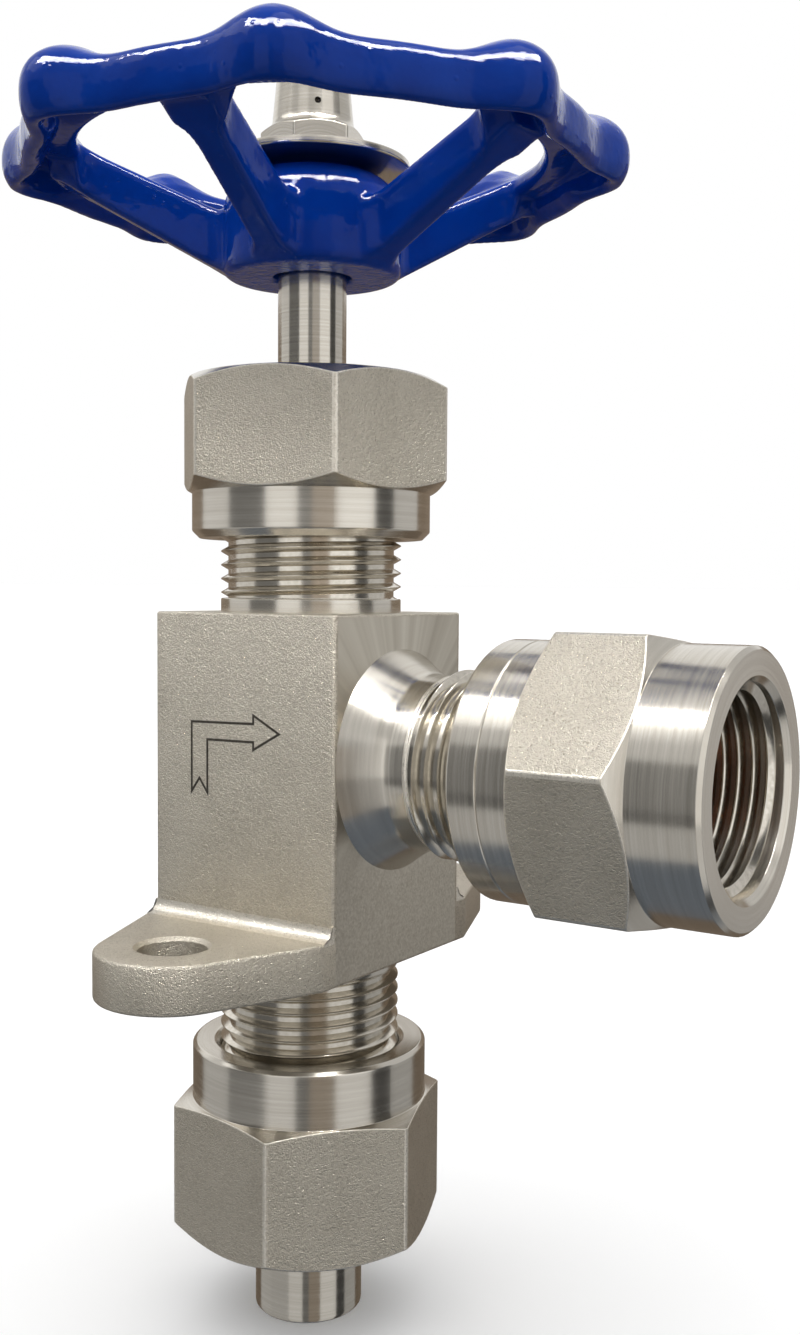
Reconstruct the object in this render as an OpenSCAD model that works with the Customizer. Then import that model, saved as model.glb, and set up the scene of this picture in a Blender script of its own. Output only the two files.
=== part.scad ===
// Angle-pattern shut-off valve for a pressure gauge, with mounting lugs.
// The origin is on the stem's axis, in the plane of the lugs' mounting face.
// +Z is up along the stem, +X points along the outlet to the gauge.

/* [Block and lugs] */
// Width of the square block
block_w = 24.2; // [23:0.1:28]
// Height of the block above the mounting face
block_h = 37.8; // [36.5:0.1:40]
// Radius of the block's upright edges
block_edge = 0.6; // [0.2:0.1:1.5]
// Thickness of the lugs
lug_t = 4.9; // [3:0.1:8]
// Distance between the centres of the two lug holes
lug_pitch = 45; // [44:0.5:60]
// Radius of each lug's round end
lug_r = 7.8; // [6:0.1:10]
// Diameter of the lug holes
lug_hole_d = 7; // [5:0.1:9]
// Length of the straight flank where the lugs leave the block
lug_flank = 27.4; // [26:0.1:30]
// Radius of the hollow between a lug's top and the block
lug_fillet = 1.4; // [0.5:0.1:3]

/* [Threads] */
// Outer diameter of the three neck threads
thread_d = 19.9; // [19.5:0.1:21]
// Diameter at the root of the neck threads
thread_root_d = 18.3; // [17.5:0.1:18.6]
// Diameter of the bores that run on the neck threads
thread_bore_d = 20.06; // [20:0.01:20.1]
// Length of the plain end land of each neck
land_l = 2; // [1:0.1:3]
// Height of the plain collar at the root of the top and bottom necks
collar_h = 1.5; // [1:0.1:2.5]

/* [Top neck and packing] */
// Length of the top neck above the block
top_neck_l = 18.2; // [17:0.1:20]
// Diameter of the packing chamber and of the bush
chamber_d = 14; // [13:0.1:15]
// Depth of the packing chamber and bush bore below the neck's end
chamber_depth = 24; // [23:0.1:26]
// Length of the threaded bush
bush_l = 9; // [7:0.1:10]
// Thickness of the metal ring under the packing
packing_washer_t = 1.2; // [0.8:0.1:2]
// Height of one packing ring
packing_h = 2.6; // [2:0.1:3]
// Length of the follower's sleeve below its flange
follower_l = 6.9; // [6:0.1:7.5]
// Thickness of the follower's flange
follower_flange_t = 1.3; // [1:0.1:2]
// Diameter of the follower's flange
follower_flange_d = 18.6; // [16:0.1:19.5]

/* [Gland nut] */
// Length of the top neck inside the gland nut
gland_grip = 10.2; // [9.5:0.1:11]
// Diameter of the gland nut's skirt
gland_skirt_d = 26.2; // [25:0.1:27]
// Length of the gland nut's skirt
gland_skirt_l = 5; // [4:0.1:7]
// Distance across the flats of the gland nut
gland_af = 27; // [26:0.1:30]
// Height of the gland nut's hexagon
gland_hex_h = 12.4; // [11:0.1:13]
// Turn of the gland nut's corners about the stem
gland_turn = 15.8; // [0:0.1:60]

/* [Stem and cone] */
// Diameter of the stem above its thread
stem_d = 7.5; // [7:0.1:8]
// Diameter of the stem's thread
stem_thread_d = 10; // [9:0.1:11]
// Length of the stem's thread
stem_thread_l = 13.7; // [12:0.1:14]
// Diameter of the stem's nose inside the cone
nose_d = 4.8; // [4:0.1:5.2]
// Length of the stem's nose
nose_l = 3.6; // [3:0.1:4]
// Travel of the cone from shut to fully open
lift = 4.5; // [3:0.1:5]
// Outer diameter of the cone
cone_d = 8.4; // [8:0.1:9]
// Diameter at the cone's tip
cone_tip_d = 2.4; // [2:0.1:3]
// Length of the cone
cone_l = 8.1; // [7.5:0.1:9]
// Thickness of the wire clip that holds the cone
clip_t = 0.6; // [0.4:0.1:0.8]
// Depth of the clip's groove in the nose
clip_in = 0.35; // [0.25:0.05:0.5]
// Depth of the clip's groove in the cone
clip_out = 0.7; // [0.5:0.05:0.8]

/* [Seat and flow bores] */
// Diameter of the chamber round the cone
flow_chamber_d = 12; // [11:0.1:12.6]
// Length of the seat ring
seat_l = 4; // [3:0.1:5]
// Outer diameter of the seat ring
seat_d = 10; // [9:0.1:10.5]
// Diameter of the seat's opening
seat_bore_d = 4.5; // [4:0.1:5]
// Diameter of the inlet bore
inlet_bore_d = 6; // [4:0.1:7]
// Diameter of the outlet bore
outlet_bore_d = 5; // [4:0.1:6]

/* [Inlet] */
// Length of the bottom neck below the mounting face
bottom_neck_l = 18; // [17:0.1:20]
// Depth of the inlet nut's mouth below the mounting face
inlet_mouth = 9.9; // [9:0.1:11]
// Diameter of the inlet nut's ring
inlet_ring_d = 26.1; // [25:0.1:27]
// Length of the inlet nut's ring
inlet_ring_l = 6.2; // [5:0.1:7]
// Distance across the flats of the inlet nut
inlet_af = 26.6; // [26:0.1:30]
// Height of the inlet nut's hexagon
inlet_hex_h = 15; // [13:0.1:17]
// Turn of the inlet nut's corners about the stem
inlet_turn = -10; // [-30:0.1:30]
// Thickness of the inlet seal ring
inlet_seal_t = 1; // [0.8:0.1:2]
// Thickness of the nipple's collar
nipple_collar_t = 3.4; // [2.5:0.1:4.5]
// Diameter of the nipple's collar
nipple_collar_d = 17.8; // [16:0.1:19]
// Outer diameter of the tube
tube_d = 12; // [10:0.1:14]
// Diameter of the nipple's shank inside the nut
shank_d = 13; // [10.8:0.1:15]
// Wall thickness of the tube
tube_wall = 1.5; // [1:0.1:2.5]
// Length of tube that stands out of the nut
tube_out = 9.4; // [8:0.1:20]

/* [Outlet] */
// Depth of the outlet's axis below the block's top
outlet_drop = 15.6; // [14.8:0.1:16]
// Diameter of the trumpet root on the block's face
flare_d = 23.6; // [22:0.1:24]
// Length of the trumpet root
flare_l = 4.2; // [3:0.1:6]
// Length of the thread relief behind the trumpet root
relief_l = 2.2; // [1:0.1:3]
// Diameter of the thread relief
relief_d = 18.5; // [17:0.1:18.6]
// Distance from the stem's axis to the outlet neck's end
outlet_neck_x = 37; // [36:0.1:38]
// Distance from the stem's axis to the coupling's near end
coupling_x = 25.6; // [25:0.1:27]
// Length of the coupling
coupling_l = 25.5; // [24:0.1:30]
// Diameter of the coupling's near round part
coupling_near_d = 26.6; // [26:0.1:27]
// Diameter of the coupling's far round part
coupling_far_d = 26.8; // [26:0.1:26.9]
// Length of the coupling's near round part
coupling_near_l = 6.6; // [5.5:0.1:8]
// Distance from the near end to the marking groove
mark_x = 3.5; // [2:0.1:6]
// Distance across the flats of the coupling
coupling_af = 27; // [26:0.1:30]
// Length of the coupling's hexagon
coupling_hex_l = 11.9; // [10:0.1:14]
// Turn of the coupling's corners about its axis
coupling_turn = 22.7; // [-30:0.1:30]
// Thickness of the outlet seal washer
seal_t = 1.5; // [1:0.1:2]
// Outer diameter of the outlet seal washer
seal_d = 18.2; // [16:0.1:18.6]

/* [Handwheel] */
// Length of stem that shows between the gland nut and the hub
stem_out = 11; // [9:0.1:18]
// Diameter of the hub
hub_d = 19.4; // [18:0.1:21]
// Height of the hub to its seat for the washer
hub_h = 11.1; // [10:0.1:12]
// Outer radius of the handwheel over its knobs
wheel_r = 34.5; // [32:0.1:36]
// Height that a knob stands out of the rim
knob_out = 3.5; // [2:0.1:4.5]
// Height that a knob rises above the rim
knob_up = 2.3; // [1:0.1:3]
// Number of knobs round the rim
knobs = 8; // [6:1:10]
// Turn of the first knob about the stem
knob_turn = -59.4; // [-90:0.1:90]
// Radial width of the rim between knobs
rim_w = 6; // [5:0.1:7]
// Height of the rim's lower edge above the hub's underside
rim_rise = 9.8; // [8:0.1:11]
// Height of the rim between knobs
rim_h = 5.3; // [5:0.1:6]
// Squareness of the rim's outer wall between knobs, where 0 is an oval
rim_square = 0.8; // [0:0.1:1]
// Thickness of the rim's casting wall
rim_wall = 2; // [1.5:0.1:2.2]
// Radius of the corners where a spoke meets the rim
web_fillet = 2.2; // [1:0.1:3]
// Number of spokes
spokes = 5; // [3:1:6]
// Turn of the first spoke about the stem
spoke_turn = -77.4; // [-90:0.1:90]
// Width of a spoke
spoke_w = 4; // [3:0.1:5]
// Depth of a spoke at the hub
spoke_h = 6.4; // [5:0.1:7]
// Height of the hub's straight wall
hub_wall_h = 6.8; // [6:0.1:8]
// Width across the flats of the square that drives the wheel
drive_af = 5.3; // [5:0.1:5.5]
// Depth of the hub's round hole below its square hole
hub_bore_l = 2.6; // [2:0.1:4]

/* [Wheel washer and nut] */
// Diameter of the wheel washer
washer_d = 21.2; // [18:0.1:24]
// Thickness of the wheel washer
washer_t = 0.8; // [0.6:0.1:1.6]
// Rise of the washer's dished edge
washer_dish = 0.5; // [0:0.1:0.8]
// Distance across the flats of the wheel nut
nut_af = 10; // [9:0.1:13]
// Height of the wheel nut's hexagon
nut_hex_h = 3.9; // [3:0.1:5]
// Turn of the wheel nut's corners about the stem
nut_turn = -13.4; // [-30:0.1:30]
// Diameter at the foot of the nut's dome
dome_d = 9.1; // [8:0.1:9.6]
// Height of the nut's dome
dome_h = 8.5; // [7:0.1:10]
// Diameter of the vent hole in the dome
vent_d = 0.7; // [0.4:0.1:1.2]
// Diameter of the stud at the stem's top
stud_d = 5.8; // [5:0.1:5.9]
// Reach of the stud into the dome
stud_reach = 4; // [3:0.1:5]

/* [Chamfers] */
// Chamfer at the mouth of the gland nut's skirt
skirt_edge = 0.8; // [0.4:0.1:1]
// Angle of the cone that turns off a hexagon's corners
corner_cut = 30; // [10:1:30]
// Angle of the cone between the inlet nut's hexagon and its ring
ring_cut = 15; // [10:1:30]
// Countersink at the mouth of a bore that runs on a neck thread
mouth_edge = 0.6; // [0.4:0.1:0.8]
// Small chamfer at holes, rings and thin edges
fine_edge = 0.4; // [0.2:0.1:0.5]

/* [Clearances] */
// Radial clearance of parts that turn or slide in each other
run_fit = 0.08; // [0.03:0.01:0.1]
// Gap between a moving piece and the stop at the end of its travel
stop_gap = 0.3; // [0.2:0.05:0.4]
// Radial clearance where a shaft passes a hole without a fit
pass_gap = 0.25; // [0.15:0.05:0.5]

/* [Hidden] */
eps = 0.01;
$fn = 96;

// Radii shared by several pieces
thread_r = thread_d / 2;
root_r = thread_root_d / 2;
bore_r = thread_bore_d / 2;
stem_r = stem_d / 2;
chamber_r = chamber_d / 2;
half_w = block_w / 2;

// Heights up the stem's axis
neck_top_z = block_h + top_neck_l;
bush_z = neck_top_z - chamber_depth;
packing_washer_z = bush_z + bush_l;
packing_z = packing_washer_z + packing_washer_t;
follower_z = packing_z + 3 * packing_h;
roof_z = follower_z + follower_l + follower_flange_t;
gland_z = neck_top_z - gland_grip;
gland_top_z = gland_z + gland_skirt_l + gland_hex_h;
hub_z = gland_top_z + stem_out;
thread_top_z = packing_washer_z - stop_gap;
thread_foot_z = thread_top_z - stem_thread_l;
nose_z = thread_foot_z - nose_l;
clip_z = nose_z + nose_l / 2;

// The cone at rest hangs under the stem's thread and the seat lies one travel below it;
// the cone's flank and the seat's rim are at 45 degrees
seat_rim = 1.25;
cone_top_z = thread_foot_z - stop_gap;
cone_tip_z = cone_top_z - cone_l;
cone_flank_h = (cone_d - cone_tip_d) / 2;
pocket_floor_z = nose_z - run_fit;
cone_gap = stop_gap * sqrt(2);
seat_edge_z = cone_tip_z - lift - cone_gap + (seat_bore_d - cone_tip_d) / 2;
chamber_floor_z = seat_edge_z + seat_rim;
outlet_z = block_h - outlet_drop;

// Depths below the mounting face
neck_foot_z = -bottom_neck_l;
collar_top_z = neck_foot_z - inlet_seal_t;
shoulder_z = collar_top_z - nipple_collar_t;
inlet_ring_foot_z = -inlet_mouth - inlet_ring_l;
inlet_foot_z = inlet_ring_foot_z - inlet_hex_h;
shank_foot_z = inlet_foot_z - stop_gap;
tube_foot_z = inlet_foot_z - tube_out;

// Lengths along the outlet's axis
flare_x = half_w + flare_l;
thread_x = flare_x + relief_l;
coupling_end_x = coupling_x + coupling_l;
waist_l = seal_t + land_l;
waist_x = outlet_neck_x - land_l / 4;
waist_r = bore_r + mouth_edge;
mouth_r = bore_r + mouth_edge;

// Handwheel heights and radii
hub_r = hub_d / 2;
hub_top_z = hub_z + hub_h;
rim_z = hub_z + rim_rise;
rim_out_r = wheel_r - knob_out;
rim_in_r = rim_out_r - rim_w;
shoulder_stem_z = hub_z + hub_bore_l;
nut_z = hub_top_z + washer_t;
dome_z = nut_z + nut_hex_h;
stem_top_z = dome_z + stud_reach;
hub_land_r = 5.6;
hub_land_h = 0.3;
hub_edge = 0.6;
rim_crown = 1.1;

module rounded_square(w, r) {
    square([w, w - 2 * r], center = true);
    square([w - 2 * r, w], center = true);
    for (sx = [-1, 1])
        for (sy = [-1, 1])
            translate([sx * (w / 2 - r), sy * (w / 2 - r)])
                circle(r);
}

// A tube between two heights
module ring(r_out, r_in, z_low, z_high) {
    translate([0, 0, z_low])
        difference() {
            cylinder(r = r_out, h = z_high - z_low);
            translate([0, 0, -eps])
                cylinder(r = r_in, h = z_high - z_low + 2 * eps);
        }
}

// A hexagon bar between two heights, its corners turned off at each end by a cone of the given
// angle, or left square where the angle is 0
module hexagon(af, z_low, z_high, low_cut, high_cut) {
    corner_r = af / sqrt(3);
    flat_r = af / 2 * 0.985;
    past_r = corner_r + 1;
    intersection() {
        translate([0, 0, z_low])
            cylinder(r = corner_r, h = z_high - z_low, $fn = 6);
        rotate_extrude()
            polygon([[0, z_low], [low_cut > 0 ? flat_r : past_r, z_low],
                [past_r, z_low + (past_r - flat_r) * tan(low_cut)],
                [past_r, z_high - (past_r - flat_r) * tan(high_cut)],
                [high_cut > 0 ? flat_r : past_r, z_high], [0, z_high]]);
    }
}

// Points of a hollow circular arc that starts at a slant on the block's face and ends along the neck
function flare_arc(r_big, r_small, x0, x1, n) =
    let (fall = r_big - r_small, run = x1 - x0, arc_r = (fall * fall + run * run) / (2 * fall),
        slant = asin(min(1, run / arc_r)))
    [for (i = [0 : n]) let (a = slant * (1 - i / n))
        [r_small + arc_r * (1 - cos(a)), x1 - arc_r * sin(a)]];

module lug_outline() {
    corner = [half_w, lug_flank / 2];
    centre_y = lug_pitch / 2;
    reach = norm([corner[0], corner[1] - centre_y]);
    turn = atan2(corner[1] - centre_y, corner[0]) + acos(lug_r / reach);
    touch = [lug_r * cos(turn), centre_y + lug_r * sin(turn)];
    square([block_w, lug_flank], center = true);
    for (s = [-1, 1])
        scale([1, s]) {
            polygon([[-corner[0], corner[1] - eps], [corner[0], corner[1] - eps], corner, touch,
                [-touch[0], touch[1]], [-corner[0], corner[1]]]);
            translate([0, centre_y])
                circle(lug_r);
        }
}

// The hollow between the lugs' top and the block's front and back
module lug_fillets() {
    for (s = [-1, 1])
        scale([1, s, 1])
            difference() {
                translate([-half_w, half_w - eps, lug_t - eps])
                    cube([block_w, lug_fillet + eps, lug_fillet + eps]);
                translate([-half_w - 1, half_w + lug_fillet, lug_t + lug_fillet])
                    rotate([0, 90, 0])
                        cylinder(r = lug_fillet, h = block_w + 2);
            }
}

// A neck along +Z from 0: root cylinder, plain end land with a chamfer
module neck(length, start) {
    edge = 0.7;
    rotate_extrude()
        polygon([[0, start], [root_r, start], [root_r, length - land_l],
            [thread_r, length - land_l + (thread_r - root_r) / 2], [thread_r, length - edge],
            [thread_r - edge, length], [0, length]]);
}

module outlet_neck() {
    translate([0, 0, outlet_z])
        rotate([0, 90, 0]) {
            rotate_extrude()
                polygon(concat([[0, half_w - 1], [flare_d / 2, half_w - 1]],
                    flare_arc(flare_d / 2, relief_d / 2, half_w, flare_x, 10),
                    [[relief_d / 2, thread_x], [0, thread_x]]));
            neck(outlet_neck_x, thread_x - eps);
        }
}

module valve_body() {
    color("#b9b3a6")
        difference() {
            union() {
                linear_extrude(block_h)
                    rounded_square(block_w, block_edge);
                linear_extrude(lug_t)
                    lug_outline();
                lug_fillets();
                translate([0, 0, block_h - eps])
                    cylinder(r = thread_r, h = collar_h + eps);
                translate([0, 0, -collar_h])
                    cylinder(r = thread_r, h = collar_h + eps);
                translate([0, 0, block_h])
                    neck(top_neck_l, 0);
                rotate([180, 0, 0])
                    neck(bottom_neck_l, 0);
                outlet_neck();
            }
            for (s = [-1, 1])
                translate([0, s * lug_pitch / 2, 0]) {
                    translate([0, 0, -eps])
                        cylinder(d = lug_hole_d, h = lug_t + 2 * eps);
                    translate([0, 0, lug_t - fine_edge])
                        cylinder(d1 = lug_hole_d, d2 = lug_hole_d + 2 * fine_edge, h = fine_edge + eps);
                }
            translate([0, 0, bush_z])
                cylinder(r = chamber_r, h = chamber_depth + eps);
            translate([0, 0, chamber_floor_z])
                cylinder(d = flow_chamber_d, h = bush_z - chamber_floor_z + eps);
            translate([0, 0, chamber_floor_z - seat_l])
                cylinder(d = seat_d, h = seat_l + eps);
            translate([0, 0, neck_foot_z - eps])
                cylinder(d = inlet_bore_d, h = chamber_floor_z - seat_l - neck_foot_z + 2 * eps);
            translate([0, 0, outlet_z])
                rotate([0, 90, 0])
                    cylinder(d = outlet_bore_d, h = outlet_neck_x + eps);
        }
}

module seat_ring() {
    color("#8f8a80")
        rotate_extrude()
            polygon([[seat_bore_d / 2, chamber_floor_z - seat_l], [seat_d / 2, chamber_floor_z - seat_l],
                [seat_d / 2, chamber_floor_z], [seat_bore_d / 2 + seat_rim, chamber_floor_z],
                [seat_bore_d / 2, seat_edge_z]]);
}

module valve_cone() {
    groove_r = nose_d / 2 + clip_out;
    pocket_r = nose_d / 2 + run_fit;
    color("#a8a49c")
        rotate_extrude()
            polygon([[0, cone_tip_z], [cone_tip_d / 2, cone_tip_z],
                [cone_d / 2, cone_tip_z + cone_flank_h], [cone_d / 2, cone_top_z],
                [pocket_r, cone_top_z], [pocket_r, clip_z + clip_t / 2], [groove_r, clip_z + clip_t / 2],
                [groove_r, clip_z - clip_t / 2], [pocket_r, clip_z - clip_t / 2],
                [pocket_r, pocket_floor_z], [0, pocket_floor_z]]);
}

module cone_clip() {
    color("#777777")
        ring(nose_d / 2 + clip_out, nose_d / 2 - clip_in + run_fit, clip_z - clip_t / 2, clip_z + clip_t / 2);
}

module stem() {
    groove_r = nose_d / 2 - clip_in;
    groove_h = clip_t / 2 + run_fit;
    color("#c8c4bb") {
        rotate_extrude()
            polygon([[0, nose_z], [nose_d / 2 - fine_edge, nose_z], [nose_d / 2, nose_z + fine_edge],
                [nose_d / 2, clip_z - groove_h], [groove_r, clip_z - groove_h],
                [groove_r, clip_z + groove_h], [nose_d / 2, clip_z + groove_h],
                [nose_d / 2, thread_foot_z], [stem_thread_d / 2, thread_foot_z],
                [stem_thread_d / 2, thread_top_z], [stem_r, thread_top_z],
                [stem_r, shoulder_stem_z], [0, shoulder_stem_z]]);
        translate([-drive_af / 2, -drive_af / 2, shoulder_stem_z - eps])
            cube([drive_af, drive_af, hub_top_z - stop_gap - shoulder_stem_z + eps]);
        translate([0, 0, hub_top_z - stop_gap - eps])
            cylinder(d = stud_d, h = stem_top_z - hub_top_z + stop_gap + eps);
    }
}

module stem_bush() {
    color("#b08d57")
        ring(chamber_r, stem_thread_d / 2 + run_fit, bush_z, packing_washer_z);
}

module packing_washer() {
    color("#a8a49c")
        ring(chamber_r, stem_r + run_fit, packing_washer_z, packing_z);
}

// One packing ring, counted from the lowest
module packing_ring(n) {
    color("#3a3a3c")
        ring(chamber_r, stem_r + run_fit, packing_z + n * packing_h, packing_z + (n + 1) * packing_h);
}

module packing_ring_lower() {
    packing_ring(0);
}

module packing_ring_middle() {
    packing_ring(1);
}

module packing_ring_upper() {
    packing_ring(2);
}

module gland_follower() {
    flange_z = roof_z - follower_flange_t;
    color("#b5afa2")
        rotate_extrude()
            polygon([[stem_r + run_fit, follower_z], [chamber_r - run_fit, follower_z],
                [chamber_r - run_fit, flange_z], [follower_flange_d / 2, flange_z],
                [follower_flange_d / 2, roof_z], [stem_r + run_fit, roof_z]]);
}

module gland_nut() {
    skirt_r = gland_skirt_d / 2;
    hex_z = gland_z + gland_skirt_l;
    color("#b9b3a6")
        difference() {
            union() {
                rotate_extrude()
                    polygon([[0, gland_z], [skirt_r - skirt_edge, gland_z], [skirt_r, gland_z + skirt_edge],
                        [skirt_r, hex_z + 1], [0, hex_z + 1]]);
                rotate(gland_turn)
                    hexagon(gland_af, hex_z, gland_top_z, corner_cut, corner_cut);
            }
            rotate_extrude()
                polygon([[0, gland_z - eps], [mouth_r, gland_z - eps], [bore_r, gland_z + mouth_edge],
                    [bore_r, roof_z], [stem_r + pass_gap, roof_z],
                    [stem_r + pass_gap, gland_top_z - fine_edge],
                    [stem_r + pass_gap + fine_edge, gland_top_z + eps], [0, gland_top_z + eps]]);
        }
}

// Share of knob at an angle: 1 at a knob's middle, falling smoothly to 0 between knobs
function knob_share(a) = pow((1 + cos(knobs * (a - knob_turn))) / 2, 3);

// A sine or cosine bent so that a circle becomes a squarer oval
function bend(v, square_share) = sign(v) * pow(abs(v), 2 / (2 + square_share));

// The rim's section at an angle: outer wall, crown, inner edge and hollow underside;
// between knobs the outer wall is squarer than on them
function rim_section(a) =
    let (k = knob_share(a),
        q = rim_square * (1 - 0.7 * k),
        mid_r = rim_out_r - 0.4 * rim_w,
        mid_z = rim_z + 0.45 * rim_h + 0.25 * knob_up * k,
        wide = rim_out_r + knob_out * k - mid_r,
        high = rim_z + rim_h + knob_up * k - mid_z,
        low = mid_z - rim_z,
        lip_a = asin(pow(low / high, (2 + q) / 2)),
        foot_r = mid_r + wide * bend(cos(lip_a), q),
        plate_z = rim_z + rim_h - 1.4 * rim_wall + knob_up * k / 2,
        wall = rim_wall * 0.8)
    concat(
        [for (i = [0 : 8]) let (b = -lip_a + i * (90 + lip_a) / 8)
            [mid_r + wide * bend(cos(b), q), mid_z + high * bend(sin(b), q)]],
        [[mid_r - 0.25 * rim_w, rim_z + rim_h + knob_up * k * 0.7 - 0.1],
            [rim_in_r + 0.9, rim_z + rim_h - 0.5 + knob_up * k * 0.3],
            [rim_in_r + 0.1, rim_z + rim_h - 1.4], [rim_in_r + 0.1, rim_z + rim_h - 2.4],
            [rim_in_r + 0.7, rim_z + rim_h - 1.5 * rim_wall],
            [mid_r, plate_z - 0.1], [foot_r - wall - 0.8, plate_z - 0.5],
            [foot_r - wall - 0.2, plate_z - 1.6], [foot_r - wall + 0.2, rim_z + 0.5],
            [foot_r - wall / 2, rim_z - 0.1]]);

// The rim: its section carried once round the stem's axis
module rim() {
    stations = knobs * 16;
    sections = [for (i = [0 : stations - 1]) rim_section(360 * i / stations + knob_turn)];
    m = len(sections[0]);
    points = [for (i = [0 : stations - 1]) let (a = 360 * i / stations + knob_turn)
        for (p = sections[i]) [p[0] * cos(a), p[0] * sin(a), p[1]]];
    faces = [for (i = [0 : stations - 1]) let (j = (i + 1) % stations)
        for (q = [0 : m - 1]) let (r = (q + 1) % m)
            for (t = [[i * m + q, i * m + r, j * m + q], [i * m + r, j * m + r, j * m + q]]) t];
    polyhedron(points, faces);
}

// Corner webs: the rim's inner edge and the spokes with round corners between them
module spoke_webs() {
    linear_extrude(rim_wall)
        difference() {
            circle(rim_in_r + 1);
            offset(r = web_fillet)
                offset(delta = -web_fillet)
                    difference() {
                        circle(rim_in_r + 0.2);
                        for (i = [0 : spokes - 1])
                            rotate(spoke_turn + 360 * i / spokes)
                                translate([0, -spoke_w / 2])
                                    square([rim_out_r, spoke_w]);
                    }
            circle(rim_in_r - web_fillet);
        }
}

// A spoke along +X: it leaves the hub low and rises to the rim
module spoke() {
    foot_z = hub_z + hub_edge;
    spoke_end = rim_in_r + rim_w / 2;
    translate([0, spoke_w / 2, 0])
        rotate([90, 0, 0])
            linear_extrude(spoke_w)
                polygon([[hub_r - 2, foot_z], [hub_r, foot_z], [spoke_end, rim_z + hub_edge],
                    [spoke_end, rim_z + rim_h - rim_crown], [rim_in_r, rim_z + rim_h - rim_crown],
                    [hub_r, foot_z + spoke_h], [hub_r - 2, foot_z + spoke_h]]);
}

// The hub: straight wall, domed shoulder and a flat land for the washer
module hub() {
    shoulder_z = hub_top_z - hub_land_h;
    shoulder_h = shoulder_z - hub_z - hub_wall_h;
    shoulder_w = 3.4;
    rotate_extrude()
        polygon(concat([[0, hub_z], [hub_r - hub_edge, hub_z], [hub_r, hub_z + hub_edge]],
            [for (i = [0 : 6]) let (a = 15 * i)
                [hub_r - shoulder_w * (1 - cos(a)), hub_z + hub_wall_h + shoulder_h * sin(a)]],
            [[hub_land_r, shoulder_z], [hub_land_r, hub_top_z], [0, hub_top_z]]));
}

module handwheel() {
    color("#0b2f8f")
        difference() {
            union() {
                rim();
                hub();
                for (i = [0 : spokes - 1])
                    rotate(spoke_turn + 360 * i / spokes)
                        spoke();
                translate([0, 0, rim_z + rim_h - rim_crown - rim_wall])
                    spoke_webs();
            }
            translate([0, 0, hub_z - eps])
                cylinder(r = stem_r + 2 * pass_gap, h = hub_bore_l + eps);
            translate([0, 0, hub_z + hub_bore_l / 2])
                linear_extrude(hub_h)
                    square(drive_af + 2 * run_fit, center = true);
        }
}

module wheel_washer() {
    low = hub_top_z;
    flat_r = nut_af / 2 + 1;
    color("#bdb9b0")
        rotate_extrude()
            polygon([[stud_d / 2 + pass_gap, low], [flat_r, low], [washer_d / 2, low + washer_dish],
                [washer_d / 2, low + washer_dish + washer_t], [flat_r, low + washer_t],
                [stud_d / 2 + pass_gap, low + washer_t]]);
}

module wheel_nut() {
    wall_h = dome_h / 2;
    taper = dome_d / 20;
    vent_turn = -46;
    color("#c4c0b6")
        difference() {
            union() {
                rotate(nut_turn)
                    hexagon(nut_af, nut_z, dome_z, 0, corner_cut);
                translate([0, 0, dome_z - eps])
                    rotate_extrude()
                        polygon(concat([[0, 0], [dome_d / 2, 0]],
                            [for (i = [0 : 10]) let (a = 90 * i / 10)
                                [(dome_d / 2 - taper) * cos(a), wall_h + (dome_h - wall_h) * sin(a)]]));
            }
            translate([0, 0, nut_z - eps])
                cylinder(d = stud_d + 2 * run_fit, h = stem_top_z - nut_z + stop_gap + eps);
            translate([0, 0, dome_z + wall_h / 2])
                rotate([0, 90, vent_turn])
                    cylinder(d = vent_d, h = dome_d);
        }
}

module inlet_union_nut() {
    ring_r = inlet_ring_d / 2;
    hole_r = shank_d / 2 + pass_gap;
    color("#b9b3a6")
        difference() {
            union() {
                rotate_extrude()
                    polygon([[0, -inlet_mouth], [ring_r - fine_edge, -inlet_mouth],
                        [ring_r, -inlet_mouth - fine_edge], [ring_r, inlet_ring_foot_z - 1],
                        [0, inlet_ring_foot_z - 1]]);
                rotate(inlet_turn)
                    hexagon(inlet_af, inlet_foot_z, inlet_ring_foot_z, corner_cut, ring_cut);
            }
            rotate_extrude()
                polygon([[0, -inlet_mouth + eps], [mouth_r, -inlet_mouth + eps],
                    [bore_r, -inlet_mouth - mouth_edge], [bore_r, shoulder_z], [hole_r, shoulder_z],
                    [hole_r, inlet_foot_z + fine_edge], [hole_r + fine_edge, inlet_foot_z - eps],
                    [0, inlet_foot_z - eps]]);
        }
}

module inlet_nipple() {
    tube_r = tube_d / 2;
    shank_r = shank_d / 2;
    color("#c8c4bb")
        rotate_extrude()
            polygon([[tube_r - tube_wall, tube_foot_z], [tube_r - fine_edge, tube_foot_z],
                [tube_r, tube_foot_z + fine_edge], [tube_r, shank_foot_z], [shank_r, shank_foot_z],
                [shank_r, shoulder_z], [nipple_collar_d / 2, shoulder_z],
                [nipple_collar_d / 2, collar_top_z], [tube_r - tube_wall, collar_top_z]]);
}

module inlet_seal_ring() {
    color("#b87333")
        ring(nipple_collar_d / 2, tube_d / 2 - tube_wall, collar_top_z, neck_foot_z);
}

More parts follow.
